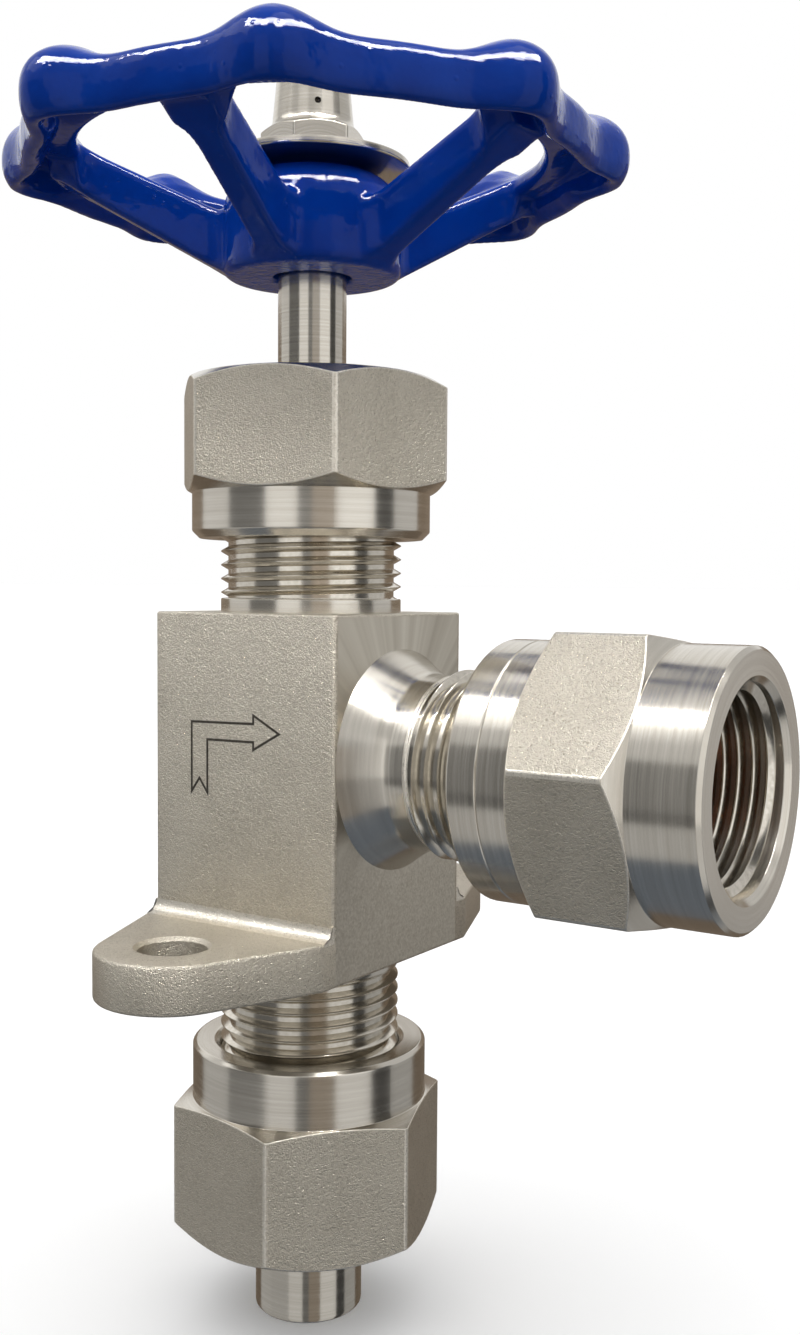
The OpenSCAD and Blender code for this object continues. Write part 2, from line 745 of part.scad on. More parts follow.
module outlet_coupling() {
    near_r = coupling_near_d / 2;
    far_r = coupling_far_d / 2;
    mark_w = 0.15;
    hex_x = coupling_x + coupling_near_l;
    hex_end_x = hex_x + coupling_hex_l;
    mark = coupling_x + mark_x;
    color("#b9b3a6")
        translate([0, 0, outlet_z])
            rotate([0, 90, 0])
                difference() {
                    union() {
                        rotate_extrude()
                            polygon([[0, coupling_x], [near_r - fine_edge, coupling_x],
                                [near_r, coupling_x + fine_edge], [near_r, mark - mark_w],
                                [near_r - mark_w, mark], [near_r, mark + mark_w], [near_r, hex_x + 1],
                                [far_r, hex_end_x - 1], [far_r, coupling_end_x - fine_edge],
                                [far_r - fine_edge, coupling_end_x], [0, coupling_end_x]]);
                        rotate(coupling_turn)
                            hexagon(coupling_af, hex_x, hex_end_x, corner_cut, corner_cut);
                    }
                    rotate_extrude()
                        polygon([[0, coupling_x - eps], [mouth_r, coupling_x - eps],
                            [bore_r, coupling_x + mouth_edge], [bore_r, waist_x],
                            [waist_r, waist_x], [waist_r, waist_x + waist_l], [bore_r, waist_x + waist_l],
                            [bore_r, coupling_end_x - mouth_edge], [mouth_r, coupling_end_x + eps],
                            [0, coupling_end_x + eps]]);
                }
}

module outlet_seal_washer() {
    color("#b87333")
        translate([0, 0, outlet_z])
            rotate([0, 90, 0])
                ring(seal_d / 2, outlet_bore_d / 2 + 0.5, outlet_neck_x, outlet_neck_x + seal_t);
}

valve_body();
seat_ring();
valve_cone();
cone_clip();
stem();
stem_bush();
packing_washer();
packing_ring_lower();
packing_ring_middle();
packing_ring_upper();
gland_follower();
gland_nut();
handwheel();
wheel_washer();
wheel_nut();
inlet_union_nut();
inlet_nipple();
inlet_seal_ring();
outlet_coupling();
outlet_seal_washer();
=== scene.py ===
"""Dressed model of an angle-pattern shut-off valve for a pressure gauge.

Sizes are in millimetres until a mesh is made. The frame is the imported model's: the origin is on the
stem's axis in the plane of the lugs' mounting face, +Z goes up the stem, +X goes along the outlet.
"""
import logging
from dataclasses import dataclass, field
from enum import Enum
from math import radians
from typing import Optional, Sequence

import bmesh
import bpy
import numpy as np
from bpy.types import ID, Material, Mesh, Node, NodeSocket, NodeTree, Object
from mathutils import Matrix, Vector


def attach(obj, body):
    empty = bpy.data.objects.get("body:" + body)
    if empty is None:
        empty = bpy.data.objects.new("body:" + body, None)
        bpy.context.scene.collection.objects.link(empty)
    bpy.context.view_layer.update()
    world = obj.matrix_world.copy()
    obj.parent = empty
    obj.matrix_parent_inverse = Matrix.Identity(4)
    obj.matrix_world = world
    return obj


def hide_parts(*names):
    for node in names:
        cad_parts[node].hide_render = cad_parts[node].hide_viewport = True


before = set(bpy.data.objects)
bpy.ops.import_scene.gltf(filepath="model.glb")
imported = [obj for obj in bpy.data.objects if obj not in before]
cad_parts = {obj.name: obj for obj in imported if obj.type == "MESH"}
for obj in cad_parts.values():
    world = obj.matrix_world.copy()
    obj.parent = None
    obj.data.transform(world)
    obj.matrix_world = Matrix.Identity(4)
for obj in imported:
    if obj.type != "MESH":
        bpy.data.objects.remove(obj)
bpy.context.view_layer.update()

LOG = logging.getLogger("valve")
MM = 0.001  # a millimetre in metres
OUTLET_Z = 22.2  # height of the outlet's axis
PITCH = 1.5  # of the M20x1.5 threads
CHAMFER = np.tan(radians(30))  # climb of a nut's chamfer and of a thread's flank
CLOUD = {"From Min": 0.3, "From Max": 0.7}  # where a noise texture's values lie
TURN_STEPS = 84  # points of a thread's ridge in one turn
Array = np.ndarray


class Axis(Enum):
    """The line that a piece is turned about."""

    STEM = "stem"
    OUTLET = "outlet"


class Hand(Enum):
    """The hand of a thread."""

    RIGHT = 1
    LEFT = -1


class Side(Enum):
    """What was done to a surface; the value is its place in a piece's list of finishes."""

    TURNED = 0
    BLASTED = 1
    WORN = 2
    FACED = 3
    TURNED_OUTLET = 4
    CUT = 5


# ---- Surfaces ----


@dataclass
class Shell:
    """A closed surface: points in millimetres, four-cornered faces and each face's finish number."""

    points: Array
    faces: Array
    finish: Array


@dataclass(frozen=True)
class Corner:
    """A corner of a turned profile and the surface that leaves it.

    r is the radius, or None on a hexagon's flats, where lean says how far the corner climbs for each
    millimetre that the flats stand out past the turned-off circle.
    """

    r: Optional[float]
    z: float
    edge: float = 0.15
    side: Side = Side.TURNED
    lean: float = 0.0


def grid_shell(points: Array, rows: bool, cols: bool, finish: Array | int = 0) -> Shell:
    """Joins a grid of points into faces.

    Args:
        points: rows x columns x 3 array.
        rows: whether the last row joins the first.
        cols: whether the last column joins the first.
        finish: one number, or one for each face as an array of rows x columns.

    Returns:
        The surface.
    """
    index = np.arange(points.shape[0] * points.shape[1]).reshape(points.shape[:2])
    index = np.concatenate([index, index[:1]]) if rows else index
    index = np.concatenate([index, index[:, :1]], axis=1) if cols else index
    faces = np.stack([index[:-1, :-1], index[:-1, 1:], index[1:, 1:], index[1:, :-1]], axis=-1)
    numbers = np.broadcast_to(np.asarray(finish), faces.shape[:2])
    return Shell(points.reshape(-1, 3), faces.reshape(-1, 4), numbers.reshape(-1).copy())


def capped(points: Array, finish: Array | int = 0) -> Shell:
    """Joins rows of points into a tube closed by fans round the middles of its first and last row."""
    caps = points.mean(axis=1, keepdims=True).repeat(points.shape[1], axis=1)
    return grid_shell(np.concatenate([caps[:1], points, caps[-1:]]), False, True, finish)


def soften(path: Array, edge: Array, closed: bool = True) -> Array:
    """Rounds the corners of a path.

    Each corner becomes the quadratic curve (1-s)^2 a + 2s(1-s) corner + s^2 b between points a and b
    that lie the edge length before and after it, with one more point outside each to keep the long
    faces beside it flat to the eye.

    Args:
        path: n x columns x 2 array of corners.
        edge: n lengths.
        closed: whether the last corner joins the first.

    Returns:
        A 6n x columns x 2 array.
    """
    back, ahead = np.roll(path, 1, axis=0) - path, np.roll(path, -1, axis=0) - path
    if not closed:
        back[0], ahead[-1] = 0, 0

    def along(way: Array, reach: Array) -> Array:
        """Goes a distance along a side, but less than half of it."""
        length = np.linalg.norm(way, axis=-1, keepdims=True)
        return path + way / np.maximum(length, 1e-9) * np.minimum(reach, 0.47 * length)

    reach = edge[:, None, None]
    a, b = along(back, reach)[:, None], along(ahead, reach)[:, None]
    s = np.linspace(0, 1, 4)[None, :, None, None]
    curve = (1 - s) ** 2 * a + 2 * s * (1 - s) * path[:, None] + s ** 2 * b
    outer = along(back, 1.4 * reach)[:, None], along(ahead, 1.4 * reach)[:, None]
    return np.concatenate([outer[0], curve, outer[1]], axis=1).reshape(-1, *path.shape[1:])


def place(r: Array, angle: Array, height: Array, axis: Axis) -> Array:
    """Turns cylinder coordinates into points of the frame.

    Args:
        r: radius.
        angle: angle round the axis.
        height: place along the axis.
        axis: the axis.

    Returns:
        The points, x, y and z last.
    """
    x, y, z = np.broadcast_arrays(r * np.cos(angle), r * np.sin(angle), height)
    if axis is Axis.STEM:
        return np.stack([x, y, z], axis=-1)
    return np.stack([z, y, OUTLET_Z - x], axis=-1)


@dataclass(frozen=True)
class Outline:
    """Columns of a turned piece: angles, and for a hexagon the radius and which columns are edges."""

    angle: Array
    radius: Array
    worn: Array
    flat_r: float = 0.0


def circle(count: int = 120) -> Outline:
    """Evenly spaced columns of a round piece."""
    angle = np.linspace(0, 2 * np.pi, count, endpoint=False)
    return Outline(angle, np.ones(count), np.zeros(count, bool))


def hexagon(across: float, turn: float, edge: float = 0.35, spread: int = 10) -> Outline:
    """Columns of a hexagon bar with rounded corners.

    Args:
        across: size across the flats.
        turn: degrees from the axis' first direction to a corner.
        edge: how far the rounding reaches from each corner.
        spread: number of columns added on each flat.

    Returns:
        The columns.
    """
    angle = radians(turn) + np.arange(6) * np.pi / 3
    corners = across / np.sqrt(3) * np.stack([np.cos(angle), np.sin(angle)], axis=-1)[:, None]
    soft = soften(corners, np.full(6, edge)).reshape(6, 6, 2)
    share = np.linspace(0, 1, spread + 2)[1:-1][None, :, None]
    flat = soft[:, -1:] + share * (np.roll(soft[:, :1], -1, axis=0) - soft[:, -1:])
    points = np.concatenate([soft, flat], axis=1).reshape(-1, 2)
    worn = np.tile(np.arange(6 + spread), 6)
    return Outline(np.arctan2(points[:, 1], points[:, 0]), np.linalg.norm(points, axis=1),
                   (worn >= 1) & (worn <= 3), across / 2 * 0.985)


def smooth_rows(r: Array, z: Array) -> list[tuple]:
    """Rows of a profile for the points of a smooth curve, which need no rounding."""
    return [(float(p), float(q), 0.0) for p, q in zip(r, z)]


def rounded_square(width: float, edge: float) -> Array:
    """The outline of a square with rounded corners, anticlockwise.

    Args:
        width: its width.
        edge: how far the rounding reaches from each corner.

    Returns:
        n x 2 points.
    """
    half = width / 2
    corners = np.array([[half, half], [-half, half], [-half, -half], [half, -half]])[:, None]
    return soften(corners, np.full(4, edge))[:, 0]


def turned(profile: Sequence[tuple], outline: Outline, axis: Axis = Axis.STEM, closed: bool = True,
           finishes: Optional[dict[Side, int]] = None) -> Shell:
    """Carries a profile round an axis.

    A point is (r cos a, r sin a, z), with r the corner's radius or, on flats, the hexagon's radius at
    that angle, and z raised by lean times the flats' reach past the turned-off circle.

    Args:
        profile: the values of each Corner in order, a loop where closed.
        outline: the columns.
        axis: the axis.
        closed: whether the profile is a loop; otherwise it runs from pole to pole.
        finishes: finish numbers that differ from the sides' own.

    Returns:
        The surface.
    """
    corners = [Corner(*row) for row in profile]
    on_flat = np.array([c.r is None for c in corners])[:, None]
    r = np.where(on_flat, outline.radius, np.array([c.r or 0.0 for c in corners])[:, None])
    lean = np.array([c.lean for c in corners])[:, None]
    z = np.array([c.z for c in corners])[:, None] + lean * (outline.radius - outline.flat_r)
    rows = soften(np.stack([r, z], axis=-1), np.array([c.edge for c in corners]), closed)
    number = {side: side.value for side in Side} | (finishes or {})
    own = np.array([number[c.side] for c in corners])
    before = np.roll(own, 1)
    edge = np.where(own == before, own, number[Side.WORN])
    finish = np.stack([before, edge, edge, edge, own, own], axis=1).reshape(-1, 1)
    finish = np.where((finish == number[Side.BLASTED]) & outline.worn, number[Side.WORN], finish)
    points = place(rows[..., 0], outline.angle, rows[..., 1], axis)
    return grid_shell(points, closed, True, finish if closed else finish[:-1])


def plug(steps: Sequence[tuple[float, float]], count: int, axis: Axis = Axis.STEM) -> Shell:
    """A stepped round solid from (radius, height) pairs, pole to pole, as a cutter."""
    return turned([(r, z, 0) for r, z in steps], circle(count), axis, closed=False)


def thread(start: float, end: float, root: float, crest: float, axis: Axis = Axis.STEM,
           hand: Hand = Hand.RIGHT, finish: int = Side.CUT.value, pitch: float = PITCH) -> Shell:
    """A thread's ridge, swept along a helix and faded into its root at both ends.

    The section is a 60 degree ridge with a rounded crest. Its centre is at angle 2 pi z / pitch, and
    half a turn further in a nut, so that a nut's ridge runs in the groove of the neck at any whole turn.

    Args:
        start: height of the first turn.
        end: height of the last turn.
        root: radius of the wall that the ridge stands on.
        crest: radius of the ridge's top, smaller than root in a nut.
        axis: the axis.
        hand: the thread's hand.
        finish: finish number.
        pitch: distance between turns.

    Returns:
        The surface.
    """
    out, depth, half = np.sign(crest - root), abs(crest - root), 0.03 * pitch
    sink = 0.12 * pitch
    rise = np.array([-sink, -sink / 2, depth - half, depth, depth, depth - half, -sink / 2, -sink])
    wide = half * 1.7 + (depth - half - rise) * CHAMFER
    side = np.array([-1, -1, -1, -0.32, 0.32, 1, 1, 1]) * np.where(rise >= depth, half * 1.7, wide)
    turns = (end - start) / pitch
    t = np.linspace(0, 1, max(int(turns * TURN_STEPS), 12))[:, None]
    fade = np.clip(np.minimum(t, 1 - t) * turns / 0.4, 0, 1)
    r = root + out * (rise * fade - sink * (1 - fade))
    height = start + (end - start) * t + side * (0.3 + 0.7 * fade)
    angle = 2 * np.pi * (start / pitch + turns * t) + (0 if crest > root else np.pi)
    return capped(place(r, hand.value * angle, height, axis), finish)


def prism(outline: Array, levels: Sequence[tuple[float, float]], finish: int = 1) -> Shell:
    """A bar of any convex outline, closed at both ends.

    Each level draws the outline in along its own normals and sets its height.

    Args:
        outline: n x 2 points in order, anticlockwise.
        levels: (inset, height) pairs from bottom to top.
        finish: finish number.

    Returns:
        The surface.
    """
    way = np.roll(outline, -1, axis=0) - np.roll(outline, 1, axis=0)
    normal = np.stack([way[:, 1], -way[:, 0]], axis=-1) / np.linalg.norm(way, axis=1, keepdims=True)
    inset, height = np.array(levels).T
    flat = outline[None] - normal[None] * inset[:, None, None]
    rows = np.concatenate([flat, np.broadcast_to(height[:, None, None], (*flat.shape[:2], 1))], axis=-1)
    low, high = rows[:1] * [0, 0, 1], rows[-1:] * [0, 0, 1]
    return grid_shell(np.concatenate([low, rows, high]), False, True, finish)


def round_levels(low: float, high: float, edge: float) -> list[tuple[float, float]]:
    """Levels of a bar whose top and bottom edges are rounded by quarter circles.

    Args:
        low: height of its underside.
        high: height of its top.
        edge: radius of the rounding.

    Returns:
        (inset, height) pairs for prism().
    """
    a = np.linspace(0, np.pi / 2, 4)
    top = [(edge * (1 - np.cos(v)), high - edge * (1 - np.sin(v))) for v in a]
    return [(i, low + high - z) for i, z in reversed(top)] + top


# ---- Pieces ----


def outward(shell: Shell) -> Array:
    """Turns the faces of a closed surface round where its volume comes out negative.

    Six times the volume is the sum of a . (b x c) + a . (c x d) over the faces' corners a, b, c, d.

    Args:
        shell: the surface.

    Returns:
        Its faces, facing outwards.
    """
    a, b, c, d = (shell.points - shell.points.mean(axis=0))[shell.faces].transpose(1, 0, 2)
    volume = np.sum(a * np.cross(b, c)) + np.sum(a * np.cross(c, d))
    return shell.faces[:, ::-1] if volume < 0 else shell.faces


def weld(mesh: Mesh) -> None:
    """Joins points within 1 micrometre and takes out faces without area.

    Args:
        mesh: the mesh.
    """
    work = bmesh.new()
    work.from_mesh(mesh)
    bmesh.ops.remove_doubles(work, verts=work.verts, dist=1e-6)
    bmesh.ops.dissolve_degenerate(work, edges=work.edges, dist=1e-7)
    work.to_mesh(mesh)
    work.free()


def enter(name: str, data: ID) -> Object:
    """Puts a new object into the scene.

    Args:
        name: its name.
        data: its mesh, lamp or camera.

    Returns:
        The object, at the origin.
    """
    made = bpy.data.objects.new(name, data)
    bpy.context.scene.collection.objects.link(made)
    return made


def build(name: str, shells: Sequence[Shell], finishes: Sequence[Material] = (),
          crease: float = 32.0) -> Object:
    """Makes one object of closed surfaces, welded, facing outwards and smooth but for creases.

    Args:
        name: the object's name.
        shells: its surfaces.
        finishes: materials in the order of the finish numbers.
        crease: degrees past which an edge stays sharp.

    Returns:
        The object, at the origin.
    """
    starts = np.cumsum([0] + [len(s.points) for s in shells[:-1]])
    points = np.concatenate([s.points for s in shells]) * MM
    faces = np.concatenate([outward(s) + start for s, start in zip(shells, starts)])
    mesh = bpy.data.meshes.new(name)
    mesh.from_pydata(points, [], faces.tolist())
    for finish in finishes:
        mesh.materials.append(finish)
    mesh.polygons.foreach_set("material_index", np.concatenate([s.finish for s in shells]).astype(np.int32))
    weld(mesh)
    piece = enter(name, mesh)
    smooth(piece, crease)
    return piece


def smooth(piece: Object, crease: float) -> None:
    """Shades a piece smooth with sharp edges past the crease angle in degrees."""
    piece.data.shade_smooth()
    piece.data.set_sharp_from_angle(angle=radians(crease))


def bake(piece: Object) -> None:
    """Applies a piece's modifiers to its mesh.

    Args:
        piece: the object.
    """
    graph = bpy.context.evaluated_depsgraph_get()
    mesh = bpy.data.meshes.new_from_object(piece.evaluated_get(graph))
    piece.modifiers.clear()
    piece.data = mesh


def carve(piece: Object, cutters: Sequence[Shell], crease: float = 30.0) -> None:
    """Cuts solids out of a piece.

    Args:
        piece: the object.
        cutters: closed surfaces of the solids.
        crease: degrees past which an edge stays sharp.
    """
    made = [build(f"cutter_{i}", [shell]) for i, shell in enumerate(cutters)]
    for cutter in made:
        cut = piece.modifiers.new("cut", "BOOLEAN")
        cut.operation, cut.solver, cut.object = "DIFFERENCE", "EXACT", cutter
    bake(piece)
    weld(piece.data)
    for cutter in made:
        bpy.data.objects.remove(cutter)
    smooth(piece, crease)


def join(name: str, parts: Sequence[Object], crease: float = 32.0) -> Object:
    """Puts the meshes of several objects into one object and removes them.

    Args:
        name: the new object's name.
        parts: the objects, which share a list of finishes.
        crease: degrees past which an edge stays sharp.

    Returns:
        The new object.
    """
    work = bmesh.new()
    mesh = bpy.data.meshes.new(name)
    for finish in parts[0].data.materials:
        mesh.materials.append(finish)
    for part in parts:
        work.from_mesh(part.data)
        bpy.data.objects.remove(part)
    work.to_mesh(mesh)
    work.free()
    piece = enter(name, mesh)
    smooth(piece, crease)
    return piece


def dress(piece: Object, body: str, slot: str, *nodes: str) -> None:
    """Gives a piece its place in the frame.

    Args:
        piece: the object.
        body: the body that it rides on.
        slot: the record's material slot; not used.
        nodes: the nodes that it stands for.
    """
    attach(piece, body)
    if nodes:
        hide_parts(*nodes)
    LOG.info("%s: %d faces, rides on %s", piece.name, len(piece.data.polygons), body)


# ---- Finishes ----


def srgb(text: str) -> tuple[float, float, float, float]:
    """Turns a colour from sRGB to linear.

    Args:
        text: six hex digits such as b0a898.

    Returns:
        Red, green, blue and an alpha of 1.
    """
    part = np.array([int(text[i:i + 2], 16) for i in (0, 2, 4)]) / 255
    linear = np.where(part <= 0.04045, part / 12.92, ((part + 0.055) / 1.055) ** 2.4)
    return (*linear.tolist(), 1.0)


def grey(value: float) -> tuple[float, float, float, float]:
    """A linear grey."""
    return (value, value, value, 1.0)


def feed(node: Node, inputs: dict) -> None:
    """Sets a node's inputs.

    Args:
        node: the node.
        inputs: socket name or number to a value, a socket, or a node whose first live output feeds it.
    """
    for name, value in inputs.items():
        if isinstance(value, Node):
            value = next(socket for socket in value.outputs if socket.enabled)
        if isinstance(value, NodeSocket):
            node.id_data.links.new(value, node.inputs[name])
        else:
            node.inputs[name].default_value = value


def add(tree: NodeTree, kind: str, inputs: Optional[dict] = None, **settings) -> Node:
    """Adds one shader node.

    Args:
        tree: the node tree.
        kind: the node's type name without ShaderNode.
        inputs: what feed() takes.
        settings: the node's properties.

    Returns:
        The node.
    """
    made = tree.nodes.new(f"ShaderNode{kind}")
    for key, value in settings.items():
        setattr(made, key, value)
    feed(made, inputs or {})
    return made


def blank(name: str) -> tuple[Material, NodeTree, Node, Node]:
    """Makes a material with a Principled shader.

    Args:
        name: its name.

    Returns:
        The material, its node tree, its shader and a node of object coordinates in millimetres.
    """
    made = bpy.data.materials.new(name)
    made.use_nodes = True
    tree = made.node_tree
    where = add(tree, "TexCoord").outputs["Object"]
    return made, tree, tree.nodes["Principled BSDF"], add(tree, "Mapping",
                                                          {"Vector": where,
                                                           "Scale": (1 / MM, 1 / MM, 1 / MM)})


def lone(name: str, kind: str, inputs: dict) -> Material:
    """Makes a material of one shader node.

    Args:
        name: its name.
        kind: the node's type name without ShaderNode.
        inputs: what feed() takes.

    Returns:
        The material.
    """
    made = bpy.data.materials.new(name)
    made.use_nodes = True
    made.node_tree.nodes.clear()
    add(made.node_tree, "OutputMaterial", {"Surface": add(made.node_tree, kind, inputs)})
    return made


def coat(shader: Node, tone: Node, colours: tuple[str, str], gloss: Node, height: Node,
         bump: tuple[float, float], **more: float) -> None:
    """Gives a shader its colour, gloss and relief.

    Args:
        shader: the Principled shader.
        tone: share of the second colour.
        colours: sRGB hex values of the darker and the lighter colour.
        gloss: roughness.
        height: the relief, about 0 to 1.
        bump: the relief's strength and its height in millimetres.
        more: other inputs of the shader.
    """
    tree = shader.id_data
    low, high = (srgb(colour) for colour in colours)
    colour = add(tree, "Mix", {"Factor": tone, "A": low, "B": high}, data_type="RGBA")
    relief = add(tree, "Bump", {"Height": height, "Strength": bump[0], "Distance": bump[1] * MM})
    feed(shader, {"Base Color": colour, "Roughness": gloss, "Normal": relief, **more})


def brush(shader: Node, mm: Node, axis: Axis, spread: float) -> None:
    """Makes a metal's gloss duller across a lathe's tool marks than along them.

    The marks run along the axis crossed with the arm from the axis to the point.

    Args:
        shader: the Principled shader.
        mm: the point in millimetres.
        axis: the axis that the piece was turned about.
        spread: how much duller.
    """
    tree = shader.id_data
    line, base = ((0, 0, 1), (0, 0, 0)) if axis is Axis.STEM else ((1, 0, 0), (0, 0, OUTLET_Z))
    arm = add(tree, "VectorMath", {0: mm, 1: base}, operation="SUBTRACT")
    way = add(tree, "VectorMath", {0: line, 1: arm}, operation="CROSS_PRODUCT")
    world = add(tree, "VectorTransform", {"Vector": way}, vector_type="VECTOR", convert_from="OBJECT",
                convert_to="WORLD")
    unit = add(tree, "VectorMath", {0: world}, operation="NORMALIZE")
    feed(shader, {"Tangent": unit, "Anisotropic": spread, "Anisotropic Rotation": 0.25})


@dataclass(frozen=True)
class BlastedStainless:
    """Bar or forging of 316 stainless steel, shot-blasted: dull warm grey with a fine pebbled grain.

    The shot leaves dents of about a quarter of a millimetre, so light breaks into small glints.
    """

    name: str = "blasted_stainless"
    light: str = "c8c1b3"
    dark: str = "aaa395"
    grain: float = 0.34
    depth: float = 0.16
    roughness: float = 0.34

    def make(self) -> Material:
        """Builds the material.

        Returns:
            The material.
        """
        made, tree, shader, mm = blank(self.name)
        dents = add(tree, "TexNoise", {"Vector": mm, "Scale": 1 / self.grain, "Detail": 3.0,
                                       "Roughness": 0.55, "Distortion": 0.6})
        fine = add(tree, "TexNoise", {"Vector": mm, "Scale": 2.6 / self.grain, "Detail": 2.0})
        patch = add(tree, "TexNoise", {"Vector": mm, "Scale": 0.16, "Detail": 2.0})
        speck = add(tree, "MapRange", {"Value": dents, "From Min": 0.34, "From Max": 0.66, "To Max": 0.72})
        tone = add(tree, "Math", {0: speck, 1: patch}, operation="ADD")
        gloss = add(tree, "MapRange", {"Value": fine, **CLOUD, "To Min": self.roughness - 0.09,
                                       "To Max": self.roughness + 0.1})
        height = add(tree, "Math", {0: dents, 1: fine}, operation="ADD")
        coat(shader, tone, (self.dark, self.light), gloss, height, (0.8, self.depth), Metallic=1.0)
        return made


@dataclass(frozen=True)
class TurnedStainless:
    """Stainless steel off the lathe: bright, with fine tool lines round its axis.

    The lines are about 0.1 mm apart; they are drawn three times as coarse so that they show. The
    grooves spread a reflection across themselves, so the gloss is far duller along the axis than
    round it.
    """

    name: str = "turned_stainless"
    axis: Axis = Axis.STEM
    light: str = "d3cec4"
    dark: str = "c3bdb2"
    lines: float = 0.3
    depth: float = 0.0009
    roughness: float = 0.22
    spread: float = 0.7

    def make(self) -> Material:
        """Builds the material.

        The lines' pattern is looked up at r + z and at 0.012 of the place across, so that it changes
        fast along the axis and across a face, and hardly at all round the piece.

        Returns:
            The material.
        """
        made, tree, shader, mm = blank(self.name)
        x, y, z = add(tree, "SeparateXYZ", {"Vector": mm}).outputs
        if self.axis is Axis.OUTLET:
            x, y, z = add(tree, "Math", {0: z, 1: OUTLET_Z}, operation="SUBTRACT"), y, x
        flat = add(tree, "CombineXYZ", {0: x, 1: y})
        r = add(tree, "VectorMath", {0: flat}, operation="LENGTH").outputs["Value"]
        way = add(tree, "VectorMath", {0: flat, "Scale": 0.012}, operation="SCALE")
        sides = add(tree, "SeparateXYZ", {"Vector": way}).outputs
        tall = add(tree, "Math", {0: r, 1: z}, operation="ADD")
        spot = add(tree, "CombineXYZ", {0: sides[0], 1: sides[1], 2: tall})
        line = add(tree, "TexNoise", {"Vector": spot, "Scale": 1 / self.lines, "Detail": 3.0,
                                      "Roughness": 0.7})
        band = add(tree, "TexNoise", {"Vector": spot, "Scale": 0.22 / self.lines, "Detail": 1.0})
        tone = add(tree, "MapRange", {"Value": line, **CLOUD})
        both = add(tree, "Math", {0: line, 1: band}, operation="ADD")
        gloss = add(tree, "MapRange", {"Value": both, "From Min": 0.7, "From Max": 1.3,
                                       "To Min": self.roughness - 0.03, "To Max": self.roughness + 0.05})
        coat(shader, tone, (self.dark, self.light), gloss, line, (0.6, self.depth), Metallic=1.0)
        brush(shader, mm, self.axis, self.spread)
        return made


@dataclass(frozen=True)
class FacedStainless:
    """The block's outlet face, faced off by the tool that turned the trumpet.

    Its rings' glints, rays from the outlet's axis, are painted highlight in the colour and also vary
    the roughness; the tool's cut fades out towards the lugs, from cut_z down to skin_z, where the
    blasted grain comes back.
    """

    name: str = "faced_stainless"
    light: str = "cbc5b8"
    dark: str = "b6afa2"
    cut_z: float = 17.0
    skin_z: float = 9.0

    def make(self) -> Material:
        """Builds the material.

        Returns:
            The material.
        """
        made, tree, shader, mm = blank(self.name)
        _, y, z = add(tree, "SeparateXYZ", {"Vector": mm}).outputs
        down = add(tree, "Math", {0: z, 1: OUTLET_Z}, operation="SUBTRACT")
        angle = add(tree, "Math", {0: down, 1: y}, operation="ARCTAN2")
        # painted highlight: noise over the angle round the outlet's axis paints radial glints into the
        # colour, and also into the roughness
        painted_glints = add(tree, "TexNoise", {"W": angle, "Scale": 5.0, "Detail": 3.0, "Roughness": 0.6},
                   noise_dimensions="1D")
        grain = add(tree, "TexNoise", {"Vector": mm, "Scale": 3.2, "Detail": 3.0, "Distortion": 0.6})
        low = add(tree, "MapRange", {"Value": z, "From Min": self.cut_z, "From Max": self.skin_z})
        either = add(tree, "Mix", {"Factor": low, "A": painted_glints, "B": grain})
        tone = add(tree, "MapRange", {"Value": either, **CLOUD})
        gloss = add(tree, "MapRange", {"Value": either, **CLOUD, "To Min": 0.42, "To Max": 0.3})
        rough = add(tree, "Math", {0: low, 1: 0.07, 2: gloss}, operation="MULTIPLY_ADD")
        height = add(tree, "Math", {0: low, 1: grain}, operation="MULTIPLY")
        coat(shader, tone, (self.dark, self.light), rough, height, (0.7, 0.04), Metallic=1.0)
        brush(shader, mm, Axis.OUTLET, 0.6)
        return made


@dataclass(frozen=True)
class Plain:
    """A finish of even colour with fine unevenness: satin steel, bronze, copper, graphite or ink.

    Metallic 1 gives a metal with the default IOR; the cloud of the given size shifts tone and gloss.
    """

    name: str
    light: str
    dark: str
    roughness: float
    metallic: float = 1.0
    cloud: float = 0.5
    depth: float = 0.003

    def make(self) -> Material:
        """Builds the material.

        Returns:
            The material.
        """
        made, tree, shader, mm = blank(self.name)
        cloud = add(tree, "TexNoise", {"Vector": mm, "Scale": 1 / self.cloud, "Detail": 4.0,
                                       "Roughness": 0.65})
        tone = add(tree, "MapRange", {"Value": cloud, **CLOUD})
        gloss = add(tree, "MapRange", {"Value": tone, "To Min": self.roughness + 0.05,
                                       "To Max": self.roughness - 0.05})
        coat(shader, tone, (self.dark, self.light), gloss, cloud, (0.6, self.depth), Metallic=self.metallic)
        return made


